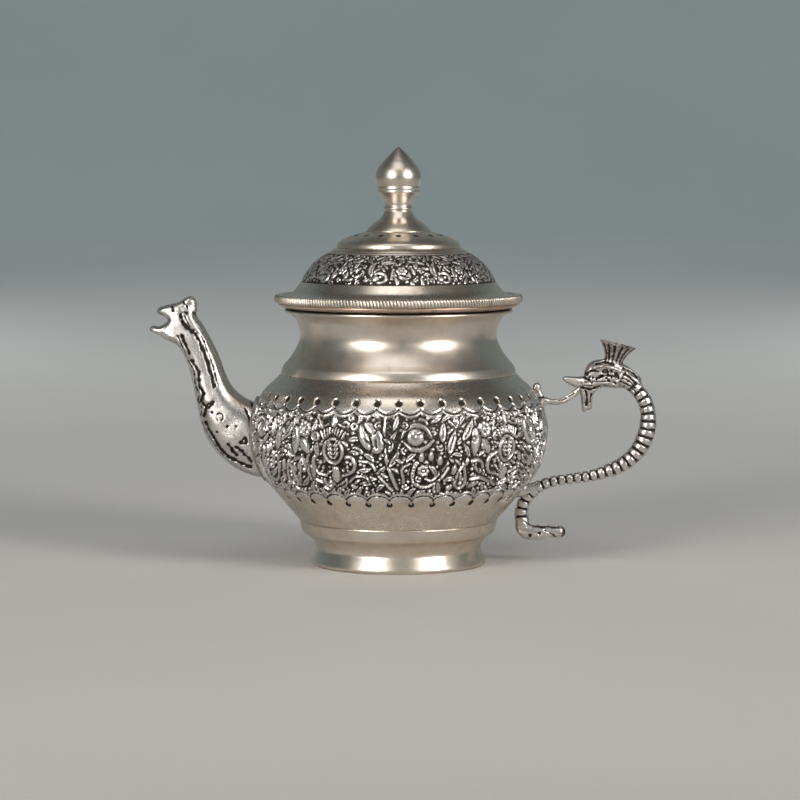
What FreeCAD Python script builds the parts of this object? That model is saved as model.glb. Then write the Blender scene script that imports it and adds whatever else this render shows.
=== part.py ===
import FreeCAD, Part
import os
from math import cos, hypot, pi, sin

# A pot on a round foot, with a cast spout towards -X, a cast serpent handle towards +X and a
# loose domed lid. Millimetres. The pot's axis is Z and the foot stands on Z = 0.

V = FreeCAD.Vector

# Driving dimensions
SHEET = 1.2  # wall of the spun body pieces
LID_SHEET = 1.0
BEYOND = 80.0  # a radius or length that reaches past the belly's wall
FOOT_TOP = 21.2  # seam between foot and belly
BELLY_TOP = 90.7  # seam between belly and neck
FLOOR_THICKNESS = 1.2
LIP_RADIUS, LIP_HEIGHT = 53.2, 120.2  # centre line of the wire round the mouth
LIP_WIRE = 0.8  # its radius
SEAT_GAP = 0.3  # between the mouth wire and the lid's seat
TURN_GAP = 0.1  # between the seat ring and the lid above it
RIM_INNER, RIM_OUTER = 54.9, 58.7
RIM_BOTTOM, RIM_TOP = 124.2, 127.9
RIM_ROUND = 0.8
TOLERANCE = 0.01  # how exactly an edge's box must match when edges are picked
SKIRT_OUTER, SKIRT_WALL, SKIRT_BOTTOM = 45.0, 1.2, 113.0
SEAT_FOOT, SEAT_EDGE = 52.4, 56.6  # the seat ring's radius where it rests, and at its flared edge
SEAT_EDGE_HEIGHT = 1.1
VENTS, VENT_RADIUS, VENT_CIRCLE = 16, 0.9, 21.3
CAP_TOP = 157.5
STUD_RADIUS, STUD_BOTTOM, STUD_TOP = 2.5, 150.5, 172.0
WASHER_RADIUS, WASHER_THICKNESS = 6.0, 1.0
NUT_FLATS, NUT_HEIGHT = 8.0, 4.0
SPOUT_WALL = 2.0
COLLAR_THICKNESS, COLLAR_WIDTH = 1.2, 2.0
STRAINER_THICKNESS, STRAINER_RADIUS, STRAINER_HEIGHT = 0.8, 17.5, 59.0
STRAINER_HOLE, STRAINER_PITCH, STRAINER_ROWS = 1.25, 4.5, 3
STRAINER_MARGIN = 4.0  # plain metal round the holes
PAD_RADIUS, PAD_LENGTH, PAD_START, PAD_DIRECTION = 3.2, 12.0, V(54, 0, 34), V(1, 0, 0.1)
OVAL_POINTS = 12  # points that each cross-section of a casting is drawn through

# Outer profiles as (radius, height), each a list of smooth stretches that meet at corners
FOOT = [
    [(40.7, 0.0), (41.5, 1.5), (40.5, 4.4), (39.2, 7.6)],
    [(39.2, 7.6), (39.6, 10.0), (42.1, 13.3), (45.4, 15.4)],
    [(45.4, 15.4), (46.3, 17.5), (47.0, FOOT_TOP)],
]
BELLY = [
    [
        (47.0, FOOT_TOP), (53.6, 29.0), (62.9, 40.6), (68.1, 51.0), (70.2, 64.0),
        (68.3, 74.0), (63.9, 82.5), (58.6, 87.6), (55.7, BELLY_TOP),
    ],
]
NECK = [
    [(55.7, BELLY_TOP), (55.3, 92.6), (54.4, 94.6)],
    [(54.4, 94.6), (51.0, 98.6), (47.5, 104.6), (46.6, 109.2), (48.2, 115.5), (52.6, 120.2)],
]
DOME = [
    [(54.9, 127.2), (52.5, 127.8), (49.4, 129.6), (46.5, 133.4)],
    [(46.5, 133.4), (43.6, 138.6), (39.4, 143.6), (32.4, 148.2), (29.6, 149.9)],
    [(29.6, 149.9), (27.0, 149.9)],
]
CAP = [
    [(29.4, 150.0), (28.4, 152.4), (25.0, 154.5), (20.6, 156.2), (15.9, CAP_TOP)],
    [(15.9, CAP_TOP), (STUD_RADIUS, CAP_TOP)],
]
FINIAL = [
    [(15.4, CAP_TOP), (14.2, 159.3), (11.6, 161.7), (8.6, 163.9), (6.3, 167.4)],
    [(6.3, 167.4), (7.1, 168.4), (6.3, 169.4)],
    [(6.3, 169.4), (6.7, 171.2), (8.2, 174.2), (9.6, 175.6)],
    [(9.6, 175.6), (10.1, 176.3), (9.6, 177.0)],
    [(9.6, 177.0), (10.1, 177.8), (9.7, 178.6)],
    [(9.7, 178.6), (10.9, 182.6), (10.1, 186.3), (8.3, 189.3), (5.3, 192.7), (2.1, 195.8), (0.0, 197.5)],
]

# Ovals along a centre line in the XZ plane, as (x, z, width in that plane, width along Y)
SPOUT_LINE = [
    (-58.0, 56.5, 38.0, 26.0), (-66.0, 59.0, 36.5, 25.0), (-74.7, 61.9, 34.0, 23.5),
    (-82.0, 67.9, 30.0, 21.5), (-86.8, 76.5, 23.4, 18.0), (-89.2, 85.2, 19.0, 16.0),
    (-91.5, 93.4, 17.0, 14.5), (-94.3, 101.1, 15.7, 13.5), (-98.1, 107.8, 15.9, 13.5),
    (-103.0, 113.2, 15.5, 13.0), (-107.6, 115.6, 11.0, 11.0),
]
CHANNEL_END = [(-108.6, 116.0, 5.0, 6.6), (-118.0, 116.4, 4.6, 7.0)]
UPPER_JAW = [(-102.5, 117.0, 10.0, 12.0), (-108.5, 119.9, 5.6, 9.0), (-113.6, 119.4, 1.6, 4.0)]
LOWER_JAW = [(-101.0, 107.6, 9.0, 11.5), (-109.5, 109.9, 7.0, 9.0), (-117.3, 111.5, 1.4, 3.2)]
CREST = [(-94.5, 112.0), (-95.8, 118.5), (-95.9, 124.9), (-98.2, 126.8), (-103.5, 124.3), (-109.5, 121.5)]
CREST_HALF_WIDTH = 2.2

HANDLE_BODY = [
    (105.0, 89.5, 9.0, 9.0), (109.5, 86.2, 7.8, 7.8), (113.4, 82.2, 6.9, 6.9), (116.4, 77.9, 7.1, 7.1),
    (118.2, 72.8, 7.3, 7.3), (118.5, 67.3, 7.9, 7.9), (117.6, 61.6, 8.3, 8.3), (115.0, 55.5, 8.0, 8.0),
    (110.8, 50.2, 7.5, 7.5), (105.0, 46.2, 7.0, 7.0), (98.5, 43.5, 6.2, 6.2), (91.0, 41.4, 5.4, 5.4),
    (81.5, 40.1, 5.0, 5.0), (73.5, 38.8, 5.2, 5.2), (66.8, 36.4, 5.8, 5.8), (62.1, 32.6, 6.2, 6.2),
    (59.5, 28.4, 6.2, 6.2), (58.5, 23.6, 6.6, 6.6), (59.2, 18.6, 7.2, 7.2),
]
HANDLE_TAIL = [
    (57.6, 16.6, 4.6, 5.2), (60.4, 15.3, 7.4, 7.2), (65.7, 14.8, 7.8, 7.6), (71.0, 15.1, 6.4, 6.4),
    (76.4, 14.4, 5.2, 5.4),
]
HANDLE_HEAD = [
    (107.5, 88.2, 8.0, 8.4), (101.0, 90.0, 11.6, 10.8), (95.0, 90.0, 13.0, 11.2),
    (90.0, 89.6, 11.6, 9.4), (86.6, 88.0, 6.0, 6.0), (77.9, 88.4, 2.0, 2.4),
]
HANDLE_JAW = [(93.5, 85.0, 9.0, 8.0), (89.5, 79.0, 6.0, 6.0), (87.8, 72.4, 1.4, 2.0)]
CROWN_BASE, CROWN_TOP = V(102.4, 0, 95.6), V(103.6, 0, 104.6)
CROWN_BASE_RADIUS, CROWN_TOP_RADIUS = 4.9, 8.4
TONGUE = [
    (87.5, 84.2, 3.0, 3.2), (84.2, 81.4, 3.0, 3.2), (80.4, 78.5, 3.0, 3.2), (75.5, 76.8, 3.0, 3.2),
    (71.1, 77.1, 3.0, 3.2), (66.0, 79.6, 2.6, 3.0),
]
TONGUE_FORK = [V(67.6, 0, 78.8), V(65.7, 0, 83.8), V(66.6, 0, 75.4)]
TONGUE_ARM_RADIUS, TONGUE_BALL_RADIUS = 1.2, 1.8


def flat(pieces):
    """The stretches of a profile as one list of points."""
    return [pieces[0][0]] + [point for piece in pieces for point in piece[1:]]


def moved_in(points, distance):
    """The points moved towards the axis along the profile's normals; the ends stay at their heights."""
    inside = []
    for i, (radius, height) in enumerate(points):
        r0, z0 = points[max(i - 1, 0)]
        r1, z1 = points[min(i + 1, len(points) - 1)]
        length = hypot(r1 - r0, z1 - z0)
        inside.append((radius - distance * (z1 - z0) / length, height + distance * (r1 - r0) / length))
    inside[0] = (points[0][0] - distance, points[0][1])
    return inside


def stretches(pieces, points):
    """One smooth edge per stretch of pieces, through the matching run of points."""
    edges = []
    start = 0
    for piece in pieces:
        run = points[start:start + len(piece)]
        curve = Part.BSplineCurve()
        curve.interpolate([V(r, 0, z) for r, z in run])
        edges.append(curve.toShape())
        start += len(piece) - 1
    return edges


def line(a, b):
    """A straight edge between two (radius, height) points."""
    return Part.makeLine(V(a[0], 0, a[1]), V(b[0], 0, b[1]))


def turned(edges):
    """The solid that a closed outline in the XZ half-plane makes when it turns about Z."""
    face = Part.Face(Part.Wire(Part.__sortEdges__(edges)))
    return face.revolve(V(0, 0, 0), V(0, 0, 1), 360)


def core(pieces, inset=0.0):
    """Everything inside a profile, filled to the axis; inset moves the profile inwards."""
    points = moved_in(flat(pieces), inset)
    low, high = (0, points[0][1]), (0, points[-1][1])
    edges = stretches(pieces, points) + [line(points[0], low), line(low, high)]
    if points[-1][0] > 0:
        edges.append(line(high, points[-1]))
    return turned(edges)


def shell(pieces, thickness, level_top=True):
    """A turned sheet with the given outer profile."""
    outside = flat(pieces)
    inside = moved_in(outside, thickness)
    if level_top:
        inside[-1] = (outside[-1][0] - thickness, outside[-1][1])
    edges = stretches(pieces, outside) + stretches(pieces, inside)
    return turned(edges + [line(outside[0], inside[0]), line(outside[-1], inside[-1])])


def tube(outer, inner, low, high):
    """A plain round ring."""
    ring = Part.makeCylinder(outer, high - low, V(0, 0, low))
    return ring.cut(Part.makeCylinder(inner, high - low, V(0, 0, low)))


def oval(x, z, width, depth, direction):
    """A closed smooth oval about (x, 0, z), square to a direction in the XZ plane."""
    across = V(-direction.z, 0, direction.x)
    points = []
    for step in range(OVAL_POINTS):
        angle = 2 * pi * step / OVAL_POINTS
        points.append(V(x, 0, z) + across * (width / 2 * cos(angle)) + V(0, depth / 2 * sin(angle), 0))
    curve = Part.BSplineCurve()
    curve.interpolate(points, PeriodicFlag=True)
    return Part.Wire(curve.toShape())


def loft(line_points, inset=0.0):
    """A solid through ovals set square to their own centre line; inset makes each narrower all round."""
    wires = []
    for i, (x, z, width, depth) in enumerate(line_points):
        before = line_points[max(i - 1, 0)]
        after = line_points[min(i + 1, len(line_points) - 1)]
        direction = V(after[0] - before[0], 0, after[1] - before[1]).normalize()
        wires.append(oval(x, z, width - 2 * inset, depth - 2 * inset, direction))
    return Part.makeLoft(wires, True, False)


def make_foot():
    return shell(FOOT, SHEET)


def make_base_plate():
    """The flat disc that closes the foot and stands on the table."""
    return core(FOOT, SHEET).common(Part.makeCylinder(BEYOND, FLOOR_THICKNESS))


def make_belly_floor():
    """The disc that closes the belly over the foot."""
    slab = Part.makeCylinder(BEYOND, FLOOR_THICKNESS, V(0, 0, FOOT_TOP))
    return core(BELLY, SHEET).common(slab)


def make_channel():
    """The hollow inside the spout, from inside the belly to the open jaws."""
    inner = [(x, z, w - 2 * SPOUT_WALL, d - 2 * SPOUT_WALL) for x, z, w, d in SPOUT_LINE[:-1]]
    return loft(inner + CHANNEL_END)


def make_belly_shell():
    return shell(BELLY, SHEET).cut(make_channel())


def make_neck_shell():
    return shell(NECK, SHEET)


def make_mouth_ring():
    """A wire round the lip, sunk half into the neck's edge."""
    return Part.makeTorus(LIP_RADIUS, LIP_WIRE, V(0, 0, LIP_HEIGHT)).cut(make_neck_shell())


def make_spout():
    """A hollow casting that starts at the belly's face and ends in two open jaws under a crest."""
    outline = Part.makePolygon([V(x, -CREST_HALF_WIDTH, z) for x, z in CREST + CREST[:1]])
    crest = Part.Face(outline).extrude(V(0, 2 * CREST_HALF_WIDTH, 0))
    body = loft(SPOUT_LINE).multiFuse([loft(UPPER_JAW), loft(LOWER_JAW), crest])
    return body.cut(core(BELLY)).cut(make_channel()).removeSplitter()


def make_spout_collar():
    """A thin soldered flange round the spout's root, lying on the belly."""
    band = core(BELLY, -COLLAR_THICKNESS).cut(core(BELLY))
    root = loft([(x, z, w + 2 * COLLAR_WIDTH, d + 2 * COLLAR_WIDTH) for x, z, w, d in SPOUT_LINE[:3]])
    return band.common(root).cut(loft(SPOUT_LINE))


def make_strainer():
    """A pierced saddle inside the belly over the spout's opening."""
    skin = core(BELLY, SHEET).cut(core(BELLY, SHEET + STRAINER_THICKNESS))
    along = V(-1, 0, 0)
    plate = skin.common(Part.makeCylinder(STRAINER_RADIUS, BEYOND, V(0, 0, STRAINER_HEIGHT), along))
    holes = []
    for row in range(-STRAINER_ROWS, STRAINER_ROWS + 1):
        for column in range(-STRAINER_ROWS, STRAINER_ROWS + 1):
            y = STRAINER_PITCH * (column + row % 2 / 2)
            z = STRAINER_PITCH * row * sin(pi / 3)
            if hypot(y, z) < STRAINER_RADIUS - STRAINER_MARGIN:
                holes.append(Part.makeCylinder(STRAINER_HOLE, BEYOND, V(0, y, STRAINER_HEIGHT + z), along))
    return plate.cut(holes)


def make_handle():
    """The cast serpent: ringed body, curled tail, head with snout and jaw, and a flared crown."""
    up = CROWN_TOP - CROWN_BASE
    crown = Part.makeCone(CROWN_BASE_RADIUS, CROWN_TOP_RADIUS, up.Length, CROWN_BASE, up)
    pieces = [loft(HANDLE_TAIL), loft(HANDLE_HEAD), loft(HANDLE_JAW), crown]
    return loft(HANDLE_BODY).multiFuse(pieces).removeSplitter()


def make_handle_tongue():
    """The forked tongue that is soldered to the top of the belly."""
    stem, ball, foot = TONGUE_FORK
    arms = []
    for end in (ball, foot):
        arms.append(Part.makeCylinder(TONGUE_ARM_RADIUS, (end - stem).Length, stem, end - stem))
    knob = Part.makeSphere(TONGUE_BALL_RADIUS, ball)
    body = loft(TONGUE).multiFuse(arms + [knob])
    return body.cut(core(BELLY)).cut(make_handle()).removeSplitter()


def make_handle_lower_pad():
    """The solder pad between the belly and the handle's lower loop."""
    post = Part.makeCylinder(PAD_RADIUS, PAD_LENGTH, PAD_START, PAD_DIRECTION)
    return post.cut(core(BELLY)).cut(make_handle())


def make_lid_skirt():
    """The ring that seats on the mouth wire, flares out under the lid and centres it in the neck."""
    low = LIP_HEIGHT + LIP_WIRE + SEAT_GAP
    high = RIM_BOTTOM - TURN_GAP
    inner = SKIRT_OUTER - SKIRT_WALL
    outline = [
        (inner, SKIRT_BOTTOM), (SKIRT_OUTER, SKIRT_BOTTOM), (SKIRT_OUTER, low), (SEAT_FOOT, low),
        (SEAT_EDGE, high - SEAT_EDGE_HEIGHT), (SEAT_EDGE, high), (inner, high),
    ]
    return turned([line(a, b) for a, b in zip(outline, outline[1:] + outline[:1])])


def make_lid_dome():
    return shell(DOME, LID_SHEET)


def make_lid_rim_wire():
    """The heavy rounded wire round the lid's edge."""
    wire = tube(RIM_OUTER, RIM_INNER, RIM_BOTTOM, RIM_TOP)
    level = [edge for edge in wire.Edges if edge.BoundBox.ZLength < TOLERANCE]
    outer = [edge for edge in level if abs(edge.BoundBox.XMax - RIM_OUTER) < TOLERANCE]
    return wire.makeFillet(RIM_ROUND, outer)


def make_lid_cap():
    """The pierced top tier, with a hole for the knob's stud."""
    cap = shell(CAP, LID_SHEET, False).cut(make_finial_stud())
    vents = []
    for step in range(VENTS):
        angle = 2 * pi * step / VENTS
        spot = V(VENT_CIRCLE * cos(angle), VENT_CIRCLE * sin(angle), RIM_TOP)
        vents.append(Part.makeCylinder(VENT_RADIUS, CAP_TOP - RIM_TOP, spot))
    return cap.cut(vents)


def make_finial():
    """The turned acorn knob, bored for its stud."""
    return core(FINIAL).cut(make_finial_stud())


def make_finial_stud():
    return Part.makeCylinder(STUD_RADIUS, STUD_TOP - STUD_BOTTOM, V(0, 0, STUD_BOTTOM))


def make_finial_washer():
    top = CAP_TOP - LID_SHEET
    return tube(WASHER_RADIUS, STUD_RADIUS, top - WASHER_THICKNESS, top)


def make_finial_nut():
    """A hexagon nut under the washer."""
    top = CAP_TOP - LID_SHEET - WASHER_THICKNESS
    corner = NUT_FLATS / 2 / cos(pi / 6)
    points = [V(corner * cos(pi / 3 * i), corner * sin(pi / 3 * i), top - NUT_HEIGHT) for i in range(7)]
    hexagon = Part.Face(Part.makePolygon(points)).extrude(V(0, 0, NUT_HEIGHT))
    return hexagon.cut(make_finial_stud())


NODES = {
    "foot": make_foot,
    "base_plate": make_base_plate,
    "belly_floor": make_belly_floor,
    "belly_shell": make_belly_shell,
    "neck_shell": make_neck_shell,
    "mouth_ring": make_mouth_ring,
    "spout": make_spout,
    "spout_collar": make_spout_collar,
    "strainer": make_strainer,
    "handle": make_handle,
    "handle_tongue": make_handle_tongue,
    "handle_lower_pad": make_handle_lower_pad,
    "lid_skirt": make_lid_skirt,
    "lid_dome": make_lid_dome,
    "lid_rim_wire": make_lid_rim_wire,
    "lid_cap": make_lid_cap,
    "finial": make_finial,
    "finial_stud": make_finial_stud,
    "finial_washer": make_finial_washer,
    "finial_nut": make_finial_nut,
}

os.makedirs("parts", exist_ok=True)
for node, make in NODES.items():
    shape = make()
    box = shape.BoundBox
    print(node, "solids", len(shape.Solids), "valid", shape.isValid(), "volume", round(shape.Volume),
          "x", round(box.XMin, 1), round(box.XMax, 1), "z", round(box.ZMin, 1), round(box.ZMax, 1))
    shape.exportStep(f"parts/{node}.step")
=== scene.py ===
"""Looks of a chased nickel-silver pot with a serpent handle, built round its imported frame."""
import math

import bpy
import numpy as np
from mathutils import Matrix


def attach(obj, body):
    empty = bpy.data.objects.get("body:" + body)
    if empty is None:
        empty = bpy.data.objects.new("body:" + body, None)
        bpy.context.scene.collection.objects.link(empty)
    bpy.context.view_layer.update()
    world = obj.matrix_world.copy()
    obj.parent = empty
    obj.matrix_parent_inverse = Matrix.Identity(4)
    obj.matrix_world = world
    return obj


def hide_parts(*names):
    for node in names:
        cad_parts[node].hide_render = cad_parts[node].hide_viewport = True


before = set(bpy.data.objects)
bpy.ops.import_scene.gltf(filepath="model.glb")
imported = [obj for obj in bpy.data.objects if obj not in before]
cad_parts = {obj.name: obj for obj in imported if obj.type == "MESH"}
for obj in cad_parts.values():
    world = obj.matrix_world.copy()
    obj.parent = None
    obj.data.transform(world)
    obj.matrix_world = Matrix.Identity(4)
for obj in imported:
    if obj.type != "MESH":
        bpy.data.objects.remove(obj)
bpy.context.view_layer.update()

import openvdb
from mathutils import Vector

MM = 0.001
rng = np.random.default_rng(11)

# ---------------------------------------------------------------- outlines, in millimetres
# Outer profiles as (radius, height), each a list of smooth stretches that meet at soft corners.
FOOT = [
    [(40.7, 0.0), (41.5, 1.5), (40.5, 4.4), (39.2, 7.6)],
    [(39.2, 7.6), (39.6, 10.0), (42.1, 13.3), (45.4, 15.4)],
    [(45.4, 15.4), (46.3, 17.5), (47.0, 21.2)],
]
BELLY = [
    [(47.0, 21.2), (53.6, 29.0), (62.9, 40.6), (68.1, 51.0), (70.2, 64.0), (68.3, 74.0),
     (63.9, 82.5), (58.6, 87.6), (55.7, 90.7)],
]
NECK = [
    [(55.7, 90.7), (55.3, 92.6), (54.4, 94.6)],
    [(54.4, 94.6), (51.0, 98.6), (47.5, 104.6), (46.6, 109.2), (48.2, 115.5), (52.6, 120.2)],
]
DOME = [
    [(54.9, 127.2), (52.5, 127.8), (49.4, 129.6), (46.5, 133.4)],
    [(46.5, 133.4), (43.6, 138.6), (39.4, 143.6), (32.4, 148.2), (29.6, 149.9)],
    [(29.6, 149.9), (27.0, 149.9)],
]
CAP = [
    [(29.4, 150.0), (28.4, 152.4), (25.0, 154.5), (20.6, 156.2), (15.9, 157.5)],
    [(15.9, 157.5), (2.5, 157.5)],
]
FINIAL = [
    [(15.4, 157.5), (14.2, 159.3), (11.6, 161.7), (8.6, 163.9), (6.3, 167.4)],
    [(6.3, 167.4), (7.1, 168.4), (6.3, 169.4)],
    [(6.3, 169.4), (6.7, 171.2), (8.2, 174.2), (9.6, 175.6)],
    [(9.6, 175.6), (10.1, 176.3), (9.6, 177.0)],
    [(9.6, 177.0), (10.1, 177.8), (9.7, 178.6)],
    [(9.7, 178.6), (10.9, 182.6), (10.1, 186.3), (8.3, 189.3), (5.3, 192.7), (2.1, 195.8), (0.0, 197.5)],
]
SHEET, LID_SHEET = 1.2, 1.0


def smooth_line(points, spacing):
    """A Catmull-Rom curve through points, stepped at about spacing."""
    points = np.asarray(points, float)
    padded = np.vstack([2 * points[0] - points[1], points, 2 * points[-1] - points[-2]])
    runs = []
    for a, b, c, d in zip(padded, padded[1:], padded[2:], padded[3:]):
        steps = max(int(np.linalg.norm((c - b)[:2]) / spacing), 1)
        t = np.arange(steps)[:, None] / steps
        runs.append(b + 0.5 * t * (c - a + t * (2 * a - 5 * b + 4 * c - d + t * (3 * b - a - 3 * c + d))))
    return np.vstack(runs + [points[-1:]])


def profile(pieces, spacing, softness=3):
    """A dense outer profile whose corners are slightly worn."""
    line = np.vstack([smooth_line(piece, 0.2)[:-1] for piece in pieces] + [pieces[-1][-1:]])
    for _ in range(softness):
        line[1:-1] = (line[:-2] + 2 * line[1:-1] + line[2:]) / 4
    arc = arc_length(line)
    even = np.linspace(0, arc[-1], int(arc[-1] / spacing) + 2)
    return np.stack([np.interp(even, arc, line[:, k]) for k in (0, 1)], 1)


def arc_length(line):
    """How far along a line each of its points lies."""
    return np.concatenate([[0], np.cumsum(np.linalg.norm(np.diff(line[:, :2], axis=0), axis=1))])


def outward(line):
    """The unit normals of a profile that runs upwards, away from the axis."""
    along = np.gradient(line, axis=0)
    along /= np.linalg.norm(along, axis=1)[:, None]
    return np.stack([along[:, 1], -along[:, 0]], 1)


# ---------------------------------------------------------------- meshes
def circle(radius, height, columns):
    """A ring of points about Z; radius and height are numbers or one value per column."""
    turn = 2 * np.pi * np.arange(columns) / columns
    return np.stack([radius * np.cos(turn), radius * np.sin(turn), np.broadcast_to(height, turn.shape)], 1)


def stitch(start_a, count_a, start_b, count_b):
    """Faces between two rings, of which one may have a whole multiple of the other's points."""
    a, b = np.arange(count_a), np.arange(count_b)
    if count_a == count_b:
        after = (a + 1) % count_a
        return [np.stack([start_a + a, start_a + after, start_b + after, start_b + a], 1)]
    if count_a > count_b:
        times = count_a // count_b
        fans = np.stack([start_a + a, start_a + (a + 1) % count_a, start_b + a // times], 1)
        if count_b == 1:
            return [fans]
        links = np.stack([start_a + (b + 1) % count_b * times, start_b + (b + 1) % count_b, start_b + b], 1)
        return [fans, links]
    return [faces[:, ::-1] for faces in stitch(start_b, count_b, start_a, count_a)]


def new_object(name, points, face_groups, material):
    """A smooth-shaded object from points in millimetres."""
    mesh = bpy.data.meshes.new(name)
    sizes = np.concatenate([np.full(len(group), group.shape[1]) for group in face_groups])
    corners = np.concatenate([group.ravel() for group in face_groups]).astype(np.int32)
    mesh.vertices.add(len(points))
    mesh.vertices.foreach_set("co", (np.asarray(points) * MM).astype(np.float32).ravel())
    mesh.loops.add(len(corners))
    mesh.loops.foreach_set("vertex_index", corners)
    mesh.polygons.add(len(sizes))
    mesh.polygons.foreach_set("loop_start", np.concatenate([[0], np.cumsum(sizes)[:-1]]).astype(np.int32))
    mesh.polygons.foreach_set("use_smooth", np.ones(len(sizes), bool))
    mesh.update(calc_edges=True)
    mesh.validate()
    mesh.materials.append(material)
    piece = bpy.data.objects.new(name, mesh)
    bpy.context.scene.collection.objects.link(piece)
    return piece


def rings_object(name, rings, material, closed):
    """One skin over a list of rings; closed joins the last ring to the first."""
    starts = np.concatenate([[0], np.cumsum([len(ring) for ring in rings])])
    pairs = [(i, i + 1) for i in range(len(rings) - 1)]
    if closed:
        pairs.append((len(rings) - 1, 0))
    groups = {3: [], 4: []}
    for i, j in pairs:
        for faces in stitch(starts[i], len(rings[i]), starts[j], len(rings[j])):
            groups[faces.shape[1]].append(faces)
    faces = [np.vstack(group) for group in groups.values() if group]
    piece = new_object(name, np.vstack(rings), faces, material)
    unroll(piece, rings)
    return piece


def unroll(piece, rings):
    """Lays the skin flat: once round is the map's width, and the way over the rings its height."""
    mesh = piece.data
    middles = np.array([(np.hypot(*ring[0, :2]), ring[0, 2]) for ring in rings])
    way = arc_length(np.vstack([middles, middles[:1]]))
    round_share = np.concatenate([np.arange(len(ring)) / len(ring) for ring in rings])
    tip = np.concatenate([np.full(len(ring), len(ring) == 1) for ring in rings])
    height_share = np.repeat(way[:-1] / way[-1], [len(ring) for ring in rings])
    corner = np.empty(len(mesh.loops), np.int32)
    mesh.loops.foreach_get("vertex_index", corner)
    start = np.empty(len(mesh.polygons), np.int32)
    mesh.polygons.foreach_get("loop_start", start)
    size = np.diff(np.append(start, len(corner)))
    u, v, at_tip = round_share[corner], height_share[corner], tip[corner]
    u = np.where(at_tip, np.repeat(np.maximum.reduceat(u, start), size), u)
    u += (np.repeat(np.maximum.reduceat(u, start), size) - u > 0.5)
    v += (np.repeat(np.maximum.reduceat(v, start), size) - v > 0.5)
    layer = mesh.uv_layers.new(name="OFBake")
    layer.uv.foreach_set("vector", np.stack([u, v], 1).astype(np.float32).ravel())


def set_patina_and_shade(piece, values):
    """Stores how dark each point is, from 0 to 1: its patina, and on the lid seat and spout also painted
    shade.
    """
    layer = piece.data.attributes.new("patina_and_shade", "FLOAT", "POINT")
    layer.data.foreach_set("value", np.clip(values, 0, 1).astype(np.float32))


def hollowness(piece, steps):
    """How far each point lies below the mean of its surroundings, in millimetres."""
    mesh = piece.data
    count = len(mesh.vertices)
    points = np.empty(count * 3, np.float32)
    mesh.vertices.foreach_get("co", points)
    normals = np.empty(count * 3, np.float32)
    mesh.vertex_normals.foreach_get("vector", normals)
    edges = np.empty(len(mesh.edges) * 2, np.int32)
    mesh.edges.foreach_get("vertices", edges)
    points, normals, edges = points.reshape(-1, 3), normals.reshape(-1, 3), edges.reshape(-1, 2)
    first, second = edges.T
    degree = np.bincount(edges.ravel(), minlength=count)
    mean = points.astype(float)
    for _ in range(steps):
        total = np.empty_like(mean)
        for k, value in enumerate(mean.T):
            onward, back = np.bincount(first, value[second], count), np.bincount(second, value[first], count)
            total[:, k] = onward + back
        mean = 0.5 * mean + 0.5 * total / degree[:, None]
    return np.einsum("ij,ij->i", mean - points, normals) / MM


def finish_piece(piece, body, slot, *nodes):
    """Puts a piece on its body, in place of its CAD nodes."""
    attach(piece, body)
    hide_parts(*nodes)


def shell_rings(line, thickness, columns, coarse, bump=None):
    """Rings up the outside of a turned sheet and down its inside; bump moves the outside out, in mm."""
    normals = outward(line)
    rings = []
    for i, ((radius, height), (nr, nz)) in enumerate(zip(line, normals)):
        lift = 0.0 if bump is None else bump[i]
        rings.append(circle(radius + nr * lift, height + nz * lift, columns))
    inside = line - normals * thickness
    inside[0] = (line[0][0] - thickness, line[0][1])
    chosen = np.linspace(len(line) - 1, 0, max(int(arc_length(line)[-1] / 2), 4)).astype(int)
    return rings + [circle(*inside[i], columns // coarse) for i in chosen]


# ---------------------------------------------------------------- chased ornament
class Canvas:
    """A wrap-round sheet of heights drawn by stamps, 0 at the sunk ground and 1 at the top of the relief."""

    def __init__(self, length, height, columns, rows):
        self.length, self.height = length, height
        self.step_x, self.step_y = length / columns, height / (rows - 1)
        self.level = np.zeros((rows, columns))

    def window(self, x, y, reach):
        """The cells within reach of a spot, and how far each is from it."""
        rows, columns = self.level.shape
        across = np.arange(math.floor((x - reach) / self.step_x), math.ceil((x + reach) / self.step_x) + 1)
        low = max(math.floor((y - reach) / self.step_y), 0)
        high = min(math.ceil((y + reach) / self.step_y), rows - 1)
        up = np.arange(low, max(high, low) + 1)
        away = np.hypot((across * self.step_x - x)[None, :], (up * self.step_y - y)[:, None])
        return np.ix_(up, across % columns), away

    def clear(self, x, y, radius):
        """Sinks a disc to the ground."""
        spot, away = self.window(x, y, radius + 0.3)
        self.level[spot] *= np.clip((away - radius) / 0.3, 0, 1)

    def boss(self, x, y, radius, top=1.0):
        """Raises a rounded disc."""
        spot, away = self.window(x, y, radius)
        dome = top * np.sqrt(np.clip(1 - (away / radius) ** 3, 0, 1))
        self.level[spot] = np.maximum(self.level[spot], dome)

    def groove(self, x, y, radius, depth):
        """Presses a rounded hollow into what is raised."""
        spot, away = self.window(x, y, radius)
        kept = 1 - depth * np.clip(1 - (away / radius) ** 2, 0, 1)
        self.level[spot] = np.minimum(self.level[spot], kept)

    def stroke(self, xs, ys, radii, edge=0.55):
        """A raised line with a sunk edge all round it."""
        for x, y, radius in zip(xs, ys, radii):
            self.clear(x, y, radius + edge)
        for x, y, radius in zip(xs, ys, radii):
            self.boss(x, y, max(radius, 0.35))

    def vein(self, xs, ys, radius, depth=0.75):
        """A pressed line."""
        for x, y in zip(xs, ys):
            self.groove(x, y, radius, depth)


def bend(x, y, heading, length, turn, power=1.0):
    """A line that starts at (x, y) and turns by turn degrees along its length; t runs from 0 to 1."""
    t = np.linspace(0, 1, int(length / 0.25) + 2)
    angle = np.radians(heading + turn * t ** power)
    step = length / (len(t) - 1)
    return x + np.cumsum(np.cos(angle)) * step, y + np.cumsum(np.sin(angle)) * step, t


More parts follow.
